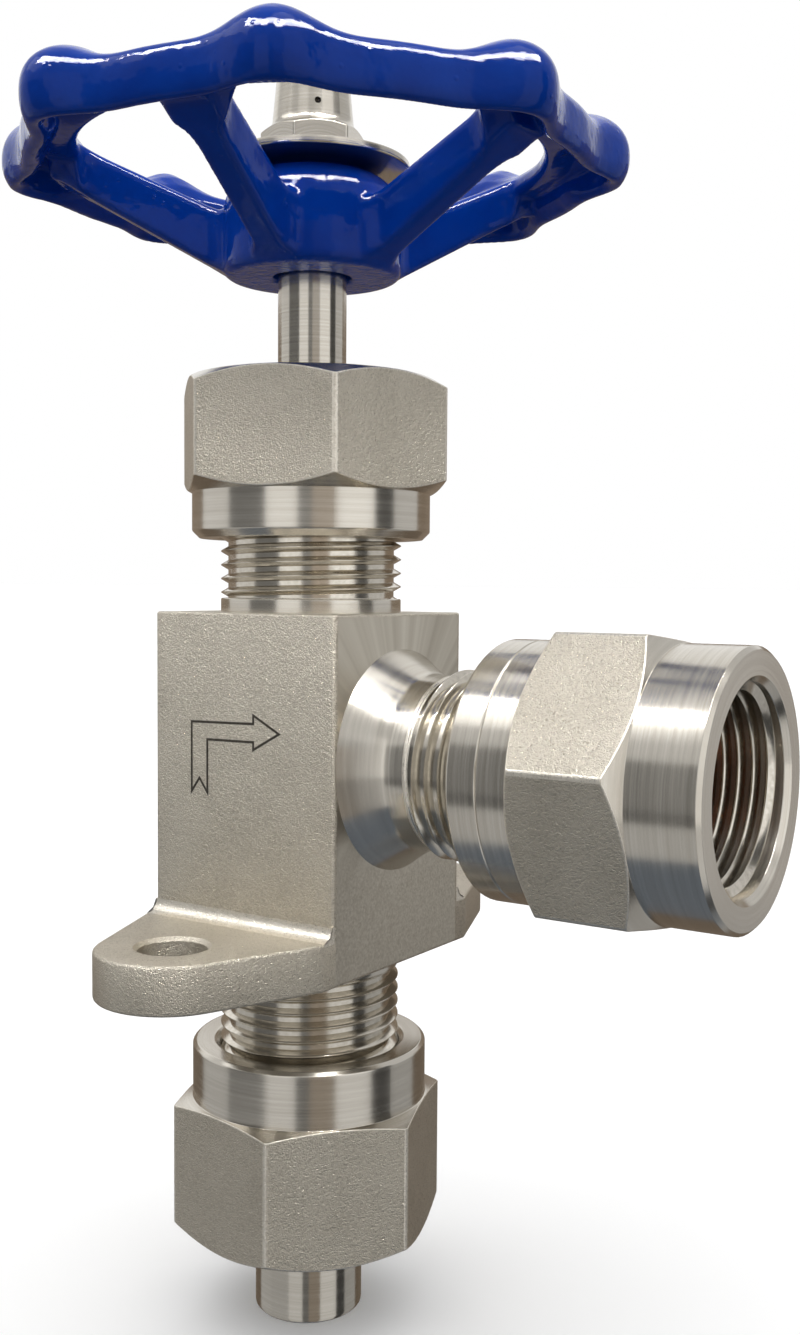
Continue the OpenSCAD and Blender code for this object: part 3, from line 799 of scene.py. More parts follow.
@dataclass(frozen=True)
class CastEnamel:
    """Thick glossy alkyd enamel on a sand casting: deep blue, wet-looking, with the sand's lumps below.

    The paint flows to an orange peel about 2 mm across; nibs of dust stand in it, and the
    hub's underside keeps the casting's rough skin.
    """

    name: str = "blue_cast_enamel"
    light: str = "0646b6"
    dark: str = "053498"
    roughness: float = 0.07
    shine: float = 0.12
    under_z: float = 75.5

    def make(self) -> Material:
        """Builds the material.

        Returns:
            The material.
        """
        made, tree, shader, mm = blank(self.name)
        peel = add(tree, "TexNoise", {"Vector": mm, "Scale": 0.45, "Detail": 2.0, "Roughness": 0.45})
        dust = add(tree, "TexVoronoi", {"Vector": mm, "Scale": 0.5, "Randomness": 1.0})
        nibs = add(tree, "MapRange", {"Value": dust, "From Min": 0.14, "From Max": 0.0, "To Max": 0.4})
        skin = add(tree, "TexNoise", {"Vector": mm, "Scale": 0.9, "Detail": 4.0, "Roughness": 0.6,
                                      "Distortion": 0.8})
        up = add(tree, "SeparateXYZ", {"Vector": add(tree, "NewGeometry").outputs["Normal"]}).outputs[2]
        down = add(tree, "MapRange", {"Value": up, "From Min": -0.75, "From Max": -0.97, "To Max": 2.5})
        z = add(tree, "SeparateXYZ", {"Vector": mm}).outputs[2]
        low = add(tree, "MapRange", {"Value": z, "From Min": self.under_z, "From Max": self.under_z - 0.5})
        under = add(tree, "Math", {0: down, 1: low}, operation="MULTIPLY")
        rough = add(tree, "Math", {0: skin, 1: under}, operation="MULTIPLY")
        lumps = add(tree, "Math", {0: peel, 1: nibs}, operation="ADD")
        height = add(tree, "Math", {0: lumps, 1: rough}, operation="ADD")
        tone = add(tree, "TexNoise", {"Vector": mm, "Scale": 0.2, "Detail": 2.0})
        gloss = add(tree, "MapRange", {"Value": skin, **CLOUD, "To Min": self.roughness - 0.03,
                                       "To Max": self.roughness + 0.06})
        coat(shader, tone, (self.dark, self.light), gloss, height, (1.0, 0.11), IOR=1.5)
        feed(shader, {"Specular IOR Level": self.shine})
        return made


def once(kind: type, *values) -> Material:
    """A field that holds the material of a finish with the given values, made with its owner."""
    return field(default_factory=kind(*values).make)


@dataclass
class Finishes:
    """Every finish on the valve, made once."""

    blasted: Material = once(BlastedStainless)
    worn: Material = once(BlastedStainless, "worn_edge_stainless", "e2dcd0", "c8c1b4", 0.34, 0.05, 0.32)
    turned: Material = once(TurnedStainless)
    turned_outlet: Material = once(TurnedStainless, "turned_stainless_outlet", Axis.OUTLET)
    faced: Material = once(FacedStainless)
    polished: Material = once(TurnedStainless, "ground_stainless", Axis.STEM, "cbc6bc", "b9b3a8", 0.25,
                              0.0005, 0.16)
    cut: Material = once(Plain, "cut_thread_stainless", "d6d0c5", "c6c0b4", 0.17, 1.0, 0.6, 0.0008)
    bright: Material = once(TurnedStainless, "bright_fastener_stainless", Axis.STEM, "c6c1b7", "b8b2a7",
                            0.2, 0.0004, 0.2)
    satin: Material = once(Plain, "satin_stainless", "cdc8be", "bdb7ac", 0.27, 1.0, 0.5, 0.001)
    enamel: Material = once(CastEnamel)
    ink: Material = once(Plain, "etched_marking", "57524a", "403c36", 0.6, 0.6, 0.3)
    bronze: Material = once(Plain, "machined_bronze", "c39a5e", "9c7740", 0.3)
    graphite: Material = once(Plain, "pressed_graphite", "44444a", "28282c", 0.5, 0.3, 0.4, 0.01)
    copper: Material = once(Plain, "annealed_copper", "d08a63", "a9633f", 0.32)

    def upright(self) -> list[Material]:
        """The list for pieces turned about the stem."""
        return [self.turned, self.blasted, self.worn, self.faced, self.turned_outlet, self.cut]

    def along(self) -> list[Material]:
        """The list for pieces turned about the outlet."""
        return [self.turned_outlet, self.blasted, self.worn, self.faced, self.turned, self.cut]


# ---- Sub-assemblies ----


@dataclass
class ValveBody:
    """The forged and machined body: block, lugs, three necks with their threads, and the flow arrow."""

    width: float = 24.2
    height: float = 37.8
    edge: float = 0.6
    lug_t: float = 4.9
    lug_y: float = 22.5
    lug_r: float = 7.8
    lug_hole_r: float = 3.5
    flank: float = 27.4
    fillet: float = 1.4
    thread_r: float = 9.95
    root_r: float = 9.15
    collar_h: float = 1.5
    top_z: float = 56.0
    foot_z: float = -18.0
    inlet_r: float = 3.0
    outlet_r: float = 2.5
    seat_r: float = 5.0
    seat_z: float = 11.98
    cone_r: float = 6.0
    floor_z: float = 15.98
    chamber_r: float = 7.0
    bush_z: float = 32.0
    flare_r: float = 11.8
    relief_r: float = 9.25
    flare_end: float = 16.3
    hollowed: float = 0.15
    relief_end: float = 18.5
    neck_end: float = 37.0
    arrow_w: float = 0.26
    arrow_proud: float = 0.012
    arrow_sunk: float = 0.05

    def block(self) -> Shell:
        """The square block with rounded edges."""
        return prism(rounded_square(self.width, self.edge), round_levels(0.05, self.height, 0.28),
                     Side.BLASTED.value)

    def lug_outline(self) -> Array:
        """Flanks, tangents and round ends of the lug plate, anticlockwise.

        The tangent point on the round end lies at the corner's direction plus the arc cosine of the
        end's radius over the corner's distance.

        Returns:
            n x 2 points.
        """
        corner = np.array([self.width / 2 - 0.02, self.flank / 2 - self.lug_y])
        reach = np.linalg.norm(corner)
        turn = np.arctan2(corner[1], corner[0]) + np.arccos(self.lug_r / reach)
        a = np.linspace(turn, np.pi - turn, 41)
        end = np.stack([self.lug_r * np.cos(a), self.lug_y + self.lug_r * np.sin(a)], axis=-1)
        start = np.array([corner[0], self.flank / 2])
        side = start + np.linspace(0, 1, 6)[:-1, None] * (end[0] - start)
        half = np.concatenate([side, end, (side * [-1, 1])[::-1]])
        return np.concatenate([half, -half])

    def lugs(self, finishes: Sequence[Material]) -> Object:
        """The lug plate with its two holes and the inlet bore cut out.

        Args:
            finishes: materials in the order of the finish numbers.

        Returns:
            The plate.
        """
        plate = build("lugs", [prism(self.lug_outline(), round_levels(0, self.lug_t, 0.35), 1)], finishes)
        chamfer = 0.4
        hole = [(0, -1, 0), (self.lug_hole_r, -1, 0), (self.lug_hole_r, self.lug_t - chamfer, 0),
                (self.lug_hole_r + chamfer + 1, self.lug_t + 1, 0), (0, self.lug_t + 1, 0)]
        cutters = [turned(hole, circle(64), closed=False) for _ in range(2)]
        for cutter, side in zip(cutters, (-1, 1)):
            cutter.points[:, 1] += side * self.lug_y
            cutter.finish[:] = Side.BLASTED.value
        carve(plate, [*cutters, self.bores()])
        return plate

    def bores(self) -> Shell:
        """The stepped bore down the stem's axis, as a cutter."""
        steps = [(0, -1), (self.inlet_r, -1), (self.inlet_r, self.seat_z), (self.seat_r, self.seat_z),
                 (self.seat_r, self.floor_z), (self.cone_r, self.floor_z), (self.cone_r, self.bush_z),
                 (self.chamber_r, self.bush_z), (self.chamber_r, 40), (0, 40)]
        return plug(steps, 72)

    def outlet_bore(self) -> Shell:
        """The bore along the outlet, as a cutter."""
        return plug([(0, 0), (self.outlet_r, 0), (self.outlet_r, 14), (0, 14)], 48, Axis.OUTLET)

    def hollow(self, side: int) -> Shell:
        """The cast hollow between a lug and the block.

        A quarter circle runs along the block's width; its radius wanders by up to 0.035 of itself,
        0.05 mm, as it does on the casting.

        Args:
            side: -1 for the near lug, 1 for the far one.

        Returns:
            The surface.
        """
        x = np.linspace(-self.width / 2 + 0.04, self.width / 2 - 0.04, 90)[:, None]
        wander = 0.02 * np.sin(1.7 * x + side) + 0.015 * np.sin(4.3 * x)
        r = self.fillet * (1 + wander)
        a = np.linspace(0, np.pi / 2, 8)
        y = np.concatenate([r * (1 - np.sin(a)), -0.3 + 0 * x, -0.3 + 0 * x, r], axis=1)
        z = np.concatenate([r * (1 - np.cos(a)), r, -0.3 + 0 * x, -0.3 + 0 * x], axis=1)
        points = np.stack([x + 0 * y, side * (self.width / 2 + y), self.lug_t + z], axis=-1)
        return capped(points, Side.WORN.value)

    def neck(self, start: float, end: float, bore: float, axis: Axis, collar: float, finish: int,
             hand: Hand) -> list[Shell]:
        """A threaded neck.

        Args:
            start: where it leaves the block.
            end: where it ends; below start it runs downwards.
            bore: radius of its bore.
            axis: its axis.
            collar: length of the plain collar at its root.
            finish: finish number.
            hand: hand of its thread.

        Returns:
            The neck and its thread's ridge, which begins inside the collar where there is one.
        """
        way = 1 if end > start else -1
        out = start + way * collar
        sides = {Side.TURNED: finish}
        profile = [(self.thread_r, start - way * 0.3, 0), (self.thread_r, out, 0.2),
                   (self.root_r, out, 0.1, Side.CUT), (self.root_r, end - way * 0.4, 0.1),
                   (self.root_r - 0.4, end, 0.1), (bore, end, 0.15), (bore, start - way * 0.3, 0)]
        if collar == 0:
            profile = profile[2:]
            profile[0] = (self.root_r, start - way * 0.3, 0, Side.CUT)
        begin = out - way * 0.6 if collar else out + way * 0.5
        low, high = sorted((begin, end - way * 1.2))
        ridge = thread(low, high, self.root_r, self.thread_r, axis, hand)
        return [turned(profile, circle(), axis, True, sides), ridge]

    def trumpet(self) -> Shell:
        """The outlet's flared root, a cone from the block's face to the relief.

        It is hollowed by a parabola, hollow * 4t(1-t) deep at the share t of its length.

        Returns:
            The surface.
        """
        half = self.width / 2
        t = np.linspace(0, 1, 13)
        r = self.flare_r + (self.relief_r - self.flare_r) * t - self.hollowed * 4 * t * (1 - t)
        x = half + (self.flare_end - half) * t
        profile = [(self.outlet_r, half - 0.4, 0), (self.flare_r - 0.02, half - 0.4, 0),
                   (self.flare_r - 0.02, half + 0.02, 0.0), *smooth_rows(r, x),
                   (self.relief_r, self.relief_end, 0.15, Side.CUT),
                   (self.root_r, self.relief_end + 0.35, 0.1), (self.root_r, self.relief_end + 1, 0),
                   (self.outlet_r, self.relief_end + 1, 0)]
        return turned(profile, circle(), Axis.OUTLET, True, {Side.TURNED: Side.TURNED_OUTLET.value})

    def arrow(self) -> Shell:
        """The etched flow arrow on the front: a band of even width along its outline.

        Each corner is moved in and out along the mean of its sides' normals, over the cosine of half
        the turn.

        Returns:
            The surface.
        """
        path = np.array([[-6.8, -19.2], [-5.7, -17.7], [-4.6, -19.2], [-4.6, -13.5], [1.7, -13.4],
                         [1.7, -14.2], [5.1, -12.35], [1.7, -10.6], [1.7, -11.5], [-6.8, -11.7]])
        ahead = np.roll(path, -1, axis=0) - path
        ahead /= np.linalg.norm(ahead, axis=1, keepdims=True)
        normal = np.stack([ahead[:, 1], -ahead[:, 0]], axis=-1)
        mean = normal + np.roll(normal, 1, axis=0)
        mean *= 2 / np.sum(mean ** 2, axis=1, keepdims=True)
        width, front = self.arrow_w / 2, self.width / 2
        rows = np.stack([path + mean * width, path - mean * width, path - mean * width,
                         path + mean * width])
        proud, sunk = front + self.arrow_proud, front - self.arrow_sunk
        depth = -np.array([proud, proud, sunk, sunk])
        points = np.stack([rows[..., 0], depth[:, None] + 0 * rows[..., 0], self.height + rows[..., 1]],
                          axis=-1)
        return grid_shell(points, True, True)

    def make(self, finishes: Finishes) -> None:
        """Builds and dresses the body and its arrow.

        Args:
            finishes: the valve's finishes.
        """
        steel = finishes.upright()
        block = build("block", [self.block()], steel)
        carve(block, [self.bores(), self.outlet_bore()])
        polygons = block.data.polygons
        centre, facing = np.empty(len(polygons) * 3), np.empty(len(polygons) * 3)
        polygons.foreach_get("center", centre)
        polygons.foreach_get("normal", facing)
        faced = (centre[::3] > (self.width / 2 - 0.01) * MM) & (facing[::3] > 0.9)
        numbers = np.where(faced, Side.FACED.value, Side.BLASTED.value).astype(np.int32)
        polygons.foreach_set("material_index", numbers)
        along = Side.TURNED_OUTLET.value
        necks = [*self.neck(self.height, self.top_z, self.chamber_r, Axis.STEM, self.collar_h, 0,
                            Hand.RIGHT),
                 *self.neck(0, self.foot_z, self.inlet_r, Axis.STEM, self.collar_h, 0, Hand.RIGHT),
                 *self.neck(self.relief_end, self.neck_end, self.outlet_r, Axis.OUTLET, 0, along,
                            Hand.LEFT), self.trumpet()]
        rest = build("necks", [*necks, self.hollow(-1), self.hollow(1)], steel)
        piece = join("valve_body_dressed", [block, self.lugs(steel), rest])
        dress(piece, "valve", "blasted_steel", "valve_body")
        dress(build("flow_arrow", [self.arrow()], [finishes.ink]), "valve", "blasted_steel")


@dataclass
class Stem:
    """The spindle: nose, thread, ground shaft, square and stud."""

    shaft_r: float = 3.75
    thread_r: float = 5.0
    nose_r: float = 2.4
    nose_z: float = 23.4
    foot_z: float = 27.0
    thread_z: float = 40.7
    thread_d: float = 0.9
    groove_w: float = 0.76
    groove_d: float = 0.35
    square_z: float = 76.8
    square: float = 5.3
    hub_z: float = 85.0
    stud_r: float = 2.9
    stud_d: float = 0.45
    stud_pitch: float = 1.0
    end_z: float = 94.0

    def make(self, finishes: Finishes) -> None:
        """Builds and dresses the stem.

        Args:
            finishes: the valve's finishes.
        """
        middle, wide = (self.nose_z + self.foot_z) / 2, self.groove_w / 2
        low, high, deep = middle - wide, middle + wide, self.nose_r - self.groove_d
        core, stud_core = self.thread_r - self.thread_d, self.stud_r - self.stud_d
        profile = [(0, self.nose_z, 0), (self.nose_r, self.nose_z, 0.4), (self.nose_r, low, 0),
                   (deep, low, 0), (deep, high, 0), (self.nose_r, high, 0), (self.nose_r, self.foot_z, 0.1),
                   (core, self.foot_z, 0.3), (core, self.thread_z - 0.6, 0.1),
                   (self.thread_r, self.thread_z - 0.4, 0.1), (self.thread_r, self.thread_z, 0.2),
                   (self.shaft_r, self.thread_z, 0.2), (self.shaft_r, self.square_z, 0.3),
                   (0, self.square_z, 0)]
        square = prism(rounded_square(self.square, 0.3), round_levels(self.square_z - 1, self.hub_z, 0.3),
                       0)
        stud = [(0, self.hub_z - 1, 0), (stud_core, self.hub_z - 1, 0), (stud_core, self.end_z, 0.5),
                (0, self.end_z, 0)]
        shells = [turned(profile, circle(), closed=False), square, turned(stud, circle(64), closed=False),
                  thread(self.foot_z + 0.9, self.thread_z - 1, core, self.thread_r, finish=0),
                  thread(self.hub_z + 0.2, self.end_z - 1, stud_core, self.stud_r, finish=0,
                         pitch=self.stud_pitch)]
        dress(build("stem_dressed", shells, [finishes.polished]), "wheel", "bright_steel", "stem")


@dataclass
class GlandNut:
    """The union nut on the top neck: a round skirt under a hexagon."""

    mouth_z: float = 45.8
    hex_z: float = 50.8
    top_z: float = 63.2
    skirt_r: float = 13.1
    bore_r: float = 10.03
    across: float = 27.0
    turn: float = 15.8
    roof_z: float = 58.2
    crest_r: float = 9.25
    hole_r: float = 4.0

    def make(self, finishes: Finishes) -> None:
        """Builds and dresses the nut.

        Args:
            finishes: the valve's finishes.
        """
        outline = hexagon(self.across, self.turn)
        flat_r = outline.flat_r
        profile = [(self.bore_r + 0.6, self.mouth_z, 0.1), (self.skirt_r - 0.8, self.mouth_z, 0.1),
                   (self.skirt_r, self.mouth_z + 0.8, 0.15), (self.skirt_r, self.hex_z, 0.05),
                   (flat_r, self.hex_z, 0.05), (None, self.hex_z, 0.1, Side.BLASTED, CHAMFER),
                   (None, self.top_z, 0.1, Side.TURNED, -CHAMFER), (flat_r, self.top_z, 0.3),
                   (self.hole_r + 0.4, self.top_z, 0.1), (self.hole_r, self.top_z - 0.4, 0.1),
                   (self.hole_r, self.roof_z, 0.1), (self.bore_r, self.roof_z, 0.2),
                   (self.bore_r, self.mouth_z + 0.6, 0.1)]
        ridge = thread(self.mouth_z + 1.0, self.roof_z - 3, self.bore_r, self.crest_r)
        dress(build("gland_nut_dressed", [turned(profile, outline), ridge], finishes.upright()), "gland",
              "nut_steel", "gland_nut")


@dataclass
class InletNut:
    """The union nut on the bottom neck: a bright ring that stands on a hexagon."""

    mouth_z: float = -9.9
    hex_z: float = -16.1
    foot_z: float = -31.1
    shoulder_z: float = -22.4
    ring_r: float = 13.05
    bore_r: float = 10.03
    hole_r: float = 6.75
    crest_r: float = 9.25
    across: float = 26.6
    turn: float = -10.0

    def make(self, finishes: Finishes) -> None:
        """Builds and dresses the nut.

        Args:
            finishes: the valve's finishes.
        """
        outline = hexagon(self.across, self.turn)
        top_slope, flat_r = np.tan(radians(15)), outline.flat_r
        profile = [(self.bore_r + 0.6, self.mouth_z, 0.1), (self.bore_r, self.mouth_z - 0.6, 0.1),
                   (self.bore_r, self.shoulder_z, 0.2), (self.hole_r, self.shoulder_z, 0.1),
                   (self.hole_r, self.foot_z + 0.4, 0.1), (self.hole_r + 0.4, self.foot_z, 0.1),
                   (flat_r, self.foot_z, 0.1), (None, self.foot_z, 0.1, Side.BLASTED, CHAMFER),
                   (None, self.hex_z, 0.1, Side.TURNED, -top_slope), (self.ring_r, self.hex_z, 0.06),
                   (self.ring_r, self.mouth_z - 0.4, 0.1), (self.ring_r - 0.4, self.mouth_z, 0.1)]
        ridge = thread(self.shoulder_z + 5, self.mouth_z - 1.0, self.bore_r, self.crest_r)
        dress(build("inlet_union_nut_dressed", [turned(profile, outline), ridge], finishes.upright()),
              "inlet", "nut_steel", "inlet_union_nut")


@dataclass
class Nipple:
    """The tube stub with its collar."""

    foot_z: float = -40.5
    shank_z: float = -31.4
    shoulder_z: float = -22.4
    top_z: float = -19.0
    tube_r: float = 6.0
    shank_r: float = 6.5
    bore_r: float = 4.5
    collar_r: float = 8.9

    def make(self, finishes: Finishes) -> None:
        """Builds and dresses the nipple.

        Args:
            finishes: the valve's finishes.
        """
        profile = [(self.bore_r, self.foot_z, 0.2), (self.tube_r, self.foot_z, 0.3),
                   (self.tube_r, self.shank_z, 0.05), (self.shank_r, self.shank_z, 0.05),
                   (self.shank_r, self.shoulder_z, 0.1), (self.collar_r, self.shoulder_z, 0.2),
                   (self.collar_r, self.top_z, 0.2), (self.bore_r, self.top_z, 0.1)]
        dress(build("inlet_nipple_dressed", [turned(profile, circle())], [finishes.polished]), "nipple",
              "bright_steel", "inlet_nipple")


@dataclass
class Coupling:
    """The turnbuckle sleeve: two turned rings, a hexagon, a groove that marks the left-hand end."""

    near_x: float = 25.6
    far_x: float = 51.1
    near_r: float = 13.3
    far_r: float = 13.4
    mark_x: float = 29.1
    hex_x: float = 32.2
    hex_end: float = 44.1
    across: float = 27.0
    turn: float = 22.7
    bore_r: float = 10.03
    waist_x: float = 36.5
    waist_end: float = 40.0
    waist_r: float = 10.63
    near_crest: float = 9.25
    far_crest: float = 9.2

    def make(self, finishes: Finishes) -> None:
        """Builds and dresses the coupling.

        Args:
            finishes: the valve's finishes.
        """
        outline = hexagon(self.across, self.turn)
        near, far = self.near_r, self.far_r
        profile = [(self.bore_r + 0.6, self.near_x, 0.1), (near - 0.4, self.near_x, 0.1),
                   (near, self.near_x + 0.4, 0.1), (near, self.mark_x - 0.13, 0.03),
                   (near - 0.15, self.mark_x, 0.03), (near, self.mark_x + 0.13, 0.03),
                   (near, self.hex_x, 0.03), (None, self.hex_x, 0.1, Side.BLASTED, CHAMFER),
                   (None, self.hex_end, 0.1, Side.TURNED, -CHAMFER),
                   (far, self.hex_end - CHAMFER * (far - outline.flat_r), 0.05),
                   (far, self.far_x - 0.4, 0.03), (far - 0.4, self.far_x, 0.03),
                   (self.bore_r + 0.6, self.far_x, 0.03), (self.bore_r, self.far_x - 0.6, 0.05),
                   (self.bore_r, self.waist_end, 0.1), (self.waist_r, self.waist_end, 0.1),
                   (self.waist_r, self.waist_x, 0.1), (self.bore_r, self.waist_x, 0.1),
                   (self.bore_r, self.near_x + 0.6, 0.1)]
        ridges = [thread(self.waist_end + 0.4, self.far_x - 0.7, self.bore_r, self.far_crest, Axis.OUTLET),
                  thread(self.near_x + 0.9, self.waist_x - 1.5, self.bore_r, self.near_crest, Axis.OUTLET,
                         Hand.LEFT)]
        shells = [turned(profile, outline, Axis.OUTLET), *ridges]
        dress(build("outlet_coupling_dressed", shells, finishes.along()), "coupling", "nut_steel",
              "outlet_coupling")


@dataclass
class WheelFastening:
    """The dished washer and the cap nut on top of the wheel."""

    hub_z: float = 85.3
    washer_r: float = 10.6
    washer_t: float = 0.8
    dish: float = 0.5
    hole_r: float = 3.15
    across: float = 10.0
    turn: float = -13.4
    hex_h: float = 3.9
    dome_r: float = 4.55
    dome_h: float = 8.48
    bore_r: float = 2.98
    vent_r: float = 0.35
    vent_turn: float = -46.0

    def washer(self) -> Shell:
        """The washer.

        Returns:
            The surface.
        """
        z, t = self.hub_z, self.washer_t
        flat = self.across / 2 + 1
        profile = [(self.hole_r, z, 0.1), (flat, z, 0.5), (self.washer_r, z + self.dish, 0.2),
                   (self.washer_r, z + self.dish + t, 0.25), (flat, z + t, 0.5), (self.hole_r, z + t, 0.1)]
        return turned(profile, circle())

    def nut(self, finishes: Sequence[Material]) -> Object:
        """The cap nut: hexagon, a short cone, a slightly tapered wall and a domed end.

        Args:
            finishes: materials in the order of the finish numbers.

        Returns:
            The nut.
        """
        outline = hexagon(self.across, self.turn, 0.18, 6)
        z = self.hub_z + self.washer_t
        top = z + self.hex_h
        a = np.linspace(0, np.pi / 2, 12)
        wall = self.dome_h / 2
        dome = smooth_rows(self.dome_r * 0.9 * np.cos(a), top + wall + (self.dome_h - wall) * np.sin(a))
        profile = [(self.bore_r, z, 0.1), (outline.flat_r, z, 0.1),
                   (None, z, 0.1, Side.TURNED, CHAMFER * 0.3), (None, top, 0.12, Side.TURNED, -CHAMFER),
                   (self.dome_r + 0.25, top + 0.02, 0.3), (self.dome_r - 0.1, top + 0.6, 0.3), *dome,
                   (0.0, z + self.hex_h + 4.0, 0), (self.bore_r, z + self.hex_h + 4.0, 0.1)]
        piece = build("wheel_nut_dressed", [turned(profile, outline)], finishes)
        vent = plug([(0, 0), (self.vent_r, 0), (self.vent_r, 8), (0, 8)], 20)
        turn = Matrix.Rotation(radians(self.vent_turn), 3, "Z") @ Matrix.Rotation(radians(90), 3, "Y")
        vent.points[:] = vent.points @ np.array(turn).T + [0, 0, top + wall / 2]
        carve(piece, [vent])
        return piece

    def make(self, finishes: Finishes) -> None:
        """Builds and dresses both pieces.

        Args:
            finishes: the valve's finishes.
        """
        steel = [finishes.bright] * len(Side)
        dress(build("wheel_washer_dressed", [self.washer()], steel), "wheel", "fastener_steel",
              "wheel_washer")
        dress(self.nut(steel), "wheel", "fastener_steel", "wheel_nut")


@dataclass
class Handwheel:
    """The cast wheel: knobbed hollow rim, five raised spokes and a low hub."""

    hub_z: float = 74.2
    hub_r: float = 9.7
    hub_h: float = 11.1
    wall_h: float = 6.8
    shoulder: float = 3.4
    boss_r: float = 5.6
    hole_r: float = 4.25
    hole_h: float = 2.6
    rim_z: float = 84.0
    rim_h: float = 5.3
    rim_out: float = 31.0
    rim_in: float = 25.0
    rim_wall: float = 2.0
    rim_square: float = 1.1
    knobs: int = 8
    knob_out: float = 3.38
    knob_up: float = 2.3
    knob_turn: float = -59.4
    knob_round: float = 0.78
    spokes: int = 5
    spoke_turn: float = -77.4
    spoke_w: float = 4.0
    spoke_h: float = 6.4
    grain: float = 0.312

    def rim(self) -> Shell:
        """The rim's section carried round the stem.

        A knob's share at angle a is ((1 + cos 8a) / 2) cubed. The outer wall, from the lip to the
        crown, is an oval whose sine and cosine are raised to 2 / (2 + q), with q from 0.24 on a knob to
        1.1 between knobs; the crown falls to the inner edge and the underside is hollow behind the lip.

        Returns:
            The surface.
        """
        a = np.linspace(0, 2 * np.pi, 384, endpoint=False)
        k = ((1 + np.cos(self.knobs * a)) / 2) ** 3
        wide_in = self.rim_out - self.rim_in
        mid_r, mid_z = self.rim_out - 0.4 * wide_in, self.rim_z + 0.45 * self.rim_h + 0.25 * self.knob_up * k
        wide = self.rim_out + self.knob_out * k - mid_r
        top = self.rim_z + self.rim_h
        high, low = top + self.knob_up * k - mid_z, mid_z - self.rim_z
        q = self.rim_square * (1 - self.knob_round * k)
        lip = np.arcsin((low / high) ** (1 + q / 2))
        share = np.linspace(0, 1, 14)[:, None]
        b = -lip + share * (np.pi / 2 + lip)
        across, up = np.abs(np.cos(b)) ** (2 / (2 + q)), np.sign(b) * np.abs(np.sin(b)) ** (2 / (2 + q))
        outer = np.stack([mid_r + wide * across, mid_z + high * up], axis=-1)
        foot = outer[:1, :, 0]
        plate = top - 1.4 * self.rim_wall + self.knob_up * k / 2
        wall = self.rim_wall * 0.8
        inner_r = [mid_r - 0.25 * wide_in, self.rim_in + 0.9, self.rim_in + 0.1, self.rim_in + 0.1,
                   self.rim_in + 0.7, mid_r, foot[0] - wall - 0.8, foot[0] - wall - 0.2,
                   foot[0] - wall + 0.2, foot[0] - wall / 2]
        inner_z = [top + self.knob_up * k * 0.7 - 0.1, top - 0.5 + self.knob_up * k * 0.3, top - 1.4,
                   top - 2.4, top - 1.5 * self.rim_wall, plate - 0.1, plate - 0.5, plate - 1.6,
                   self.rim_z + 0.5, self.rim_z + 0.05]
        inner = np.stack([np.stack(np.broadcast_arrays(*row, 0 * k)[:-1]) for row in (inner_r, inner_z)],
                         axis=-1)
        rows = np.concatenate([outer, inner])
        return grid_shell(place(rows[..., 0], a + radians(self.knob_turn), rows[..., 1], Axis.STEM), True,
                          True)

    def hub(self) -> Shell:
        """The hub: straight wall, domed shoulder, square hole over a round one.

        Returns:
            The surface.
        """
        top = self.hub_z + self.hub_h
        a = np.linspace(0, np.pi / 2, 8)
        rise = self.hub_h - 0.3 - self.wall_h
        dome = smooth_rows(self.hub_r - self.shoulder * (1 - np.cos(a)),
                           self.hub_z + self.wall_h + rise * np.sin(a))
        profile = [(self.hole_r, self.hub_z, 0.2), (self.hub_r, self.hub_z, 0.9), *dome,
                   (self.boss_r, top - 0.3, 0), (self.boss_r, top, 0.05), (self.hole_r - 0.6, top, 0.05),
                   (self.hole_r - 0.6, self.hub_z + self.hole_h, 0.05),
                   (self.hole_r, self.hub_z + self.hole_h, 0.05)]
        return turned(profile, circle())

    def spoke(self, turn: float) -> Shell:
        """A spoke: a drafted section carried from the hub up to the rim, wider at both ends.

        Args:
            turn: its direction in radians.

        Returns:
            The surface.
        """
        t = np.linspace(0, 1, 40)[:, None]
        r0, r1 = self.hub_r - 2.2, self.rim_in + 3.4
        r = r0 + (r1 - r0) * t
        start_z, end_z = self.hub_z + self.spoke_h + 0.6, self.rim_z + self.rim_h - 1.1
        climb = np.clip((r - self.hub_r) / (self.rim_in - self.hub_r), 0, 1)
        top_z = start_z + (end_z - start_z) * climb
        fall = np.clip((r - self.hub_r) / (r1 - 0.8 - self.hub_r), 0, 1)
        low_z = self.hub_z + 0.6 + (self.rim_z - self.hub_z) * fall
        near = np.clip((r - self.rim_in + 3.0) / 3.0, 0, 1)
        web = 2.6 * (1 - np.sqrt(1 - near ** 2))
        foot = 0.9 * np.clip((self.hub_r + 2.0 - r) / 2.0, 0, 1) ** 2
        half = self.spoke_w / 2
        top_w, low_w = half + web + foot, half - 0.35 + 0.4 * web + foot
        corners = np.stack([np.concatenate([top_w, -top_w, -low_w, low_w], axis=1),
                            np.concatenate([top_z, top_z, low_z, low_z], axis=1)], axis=-1)
        section = soften(corners.transpose(1, 0, 2), np.array([0.9, 0.9, 0.7, 0.7])).transpose(1, 0, 2)
        x, y = r + 0 * section[..., 0], section[..., 0]
        return capped(np.stack([x * np.cos(turn) - y * np.sin(turn), x * np.sin(turn) + y * np.cos(turn),
                                section[..., 1]], axis=-1))

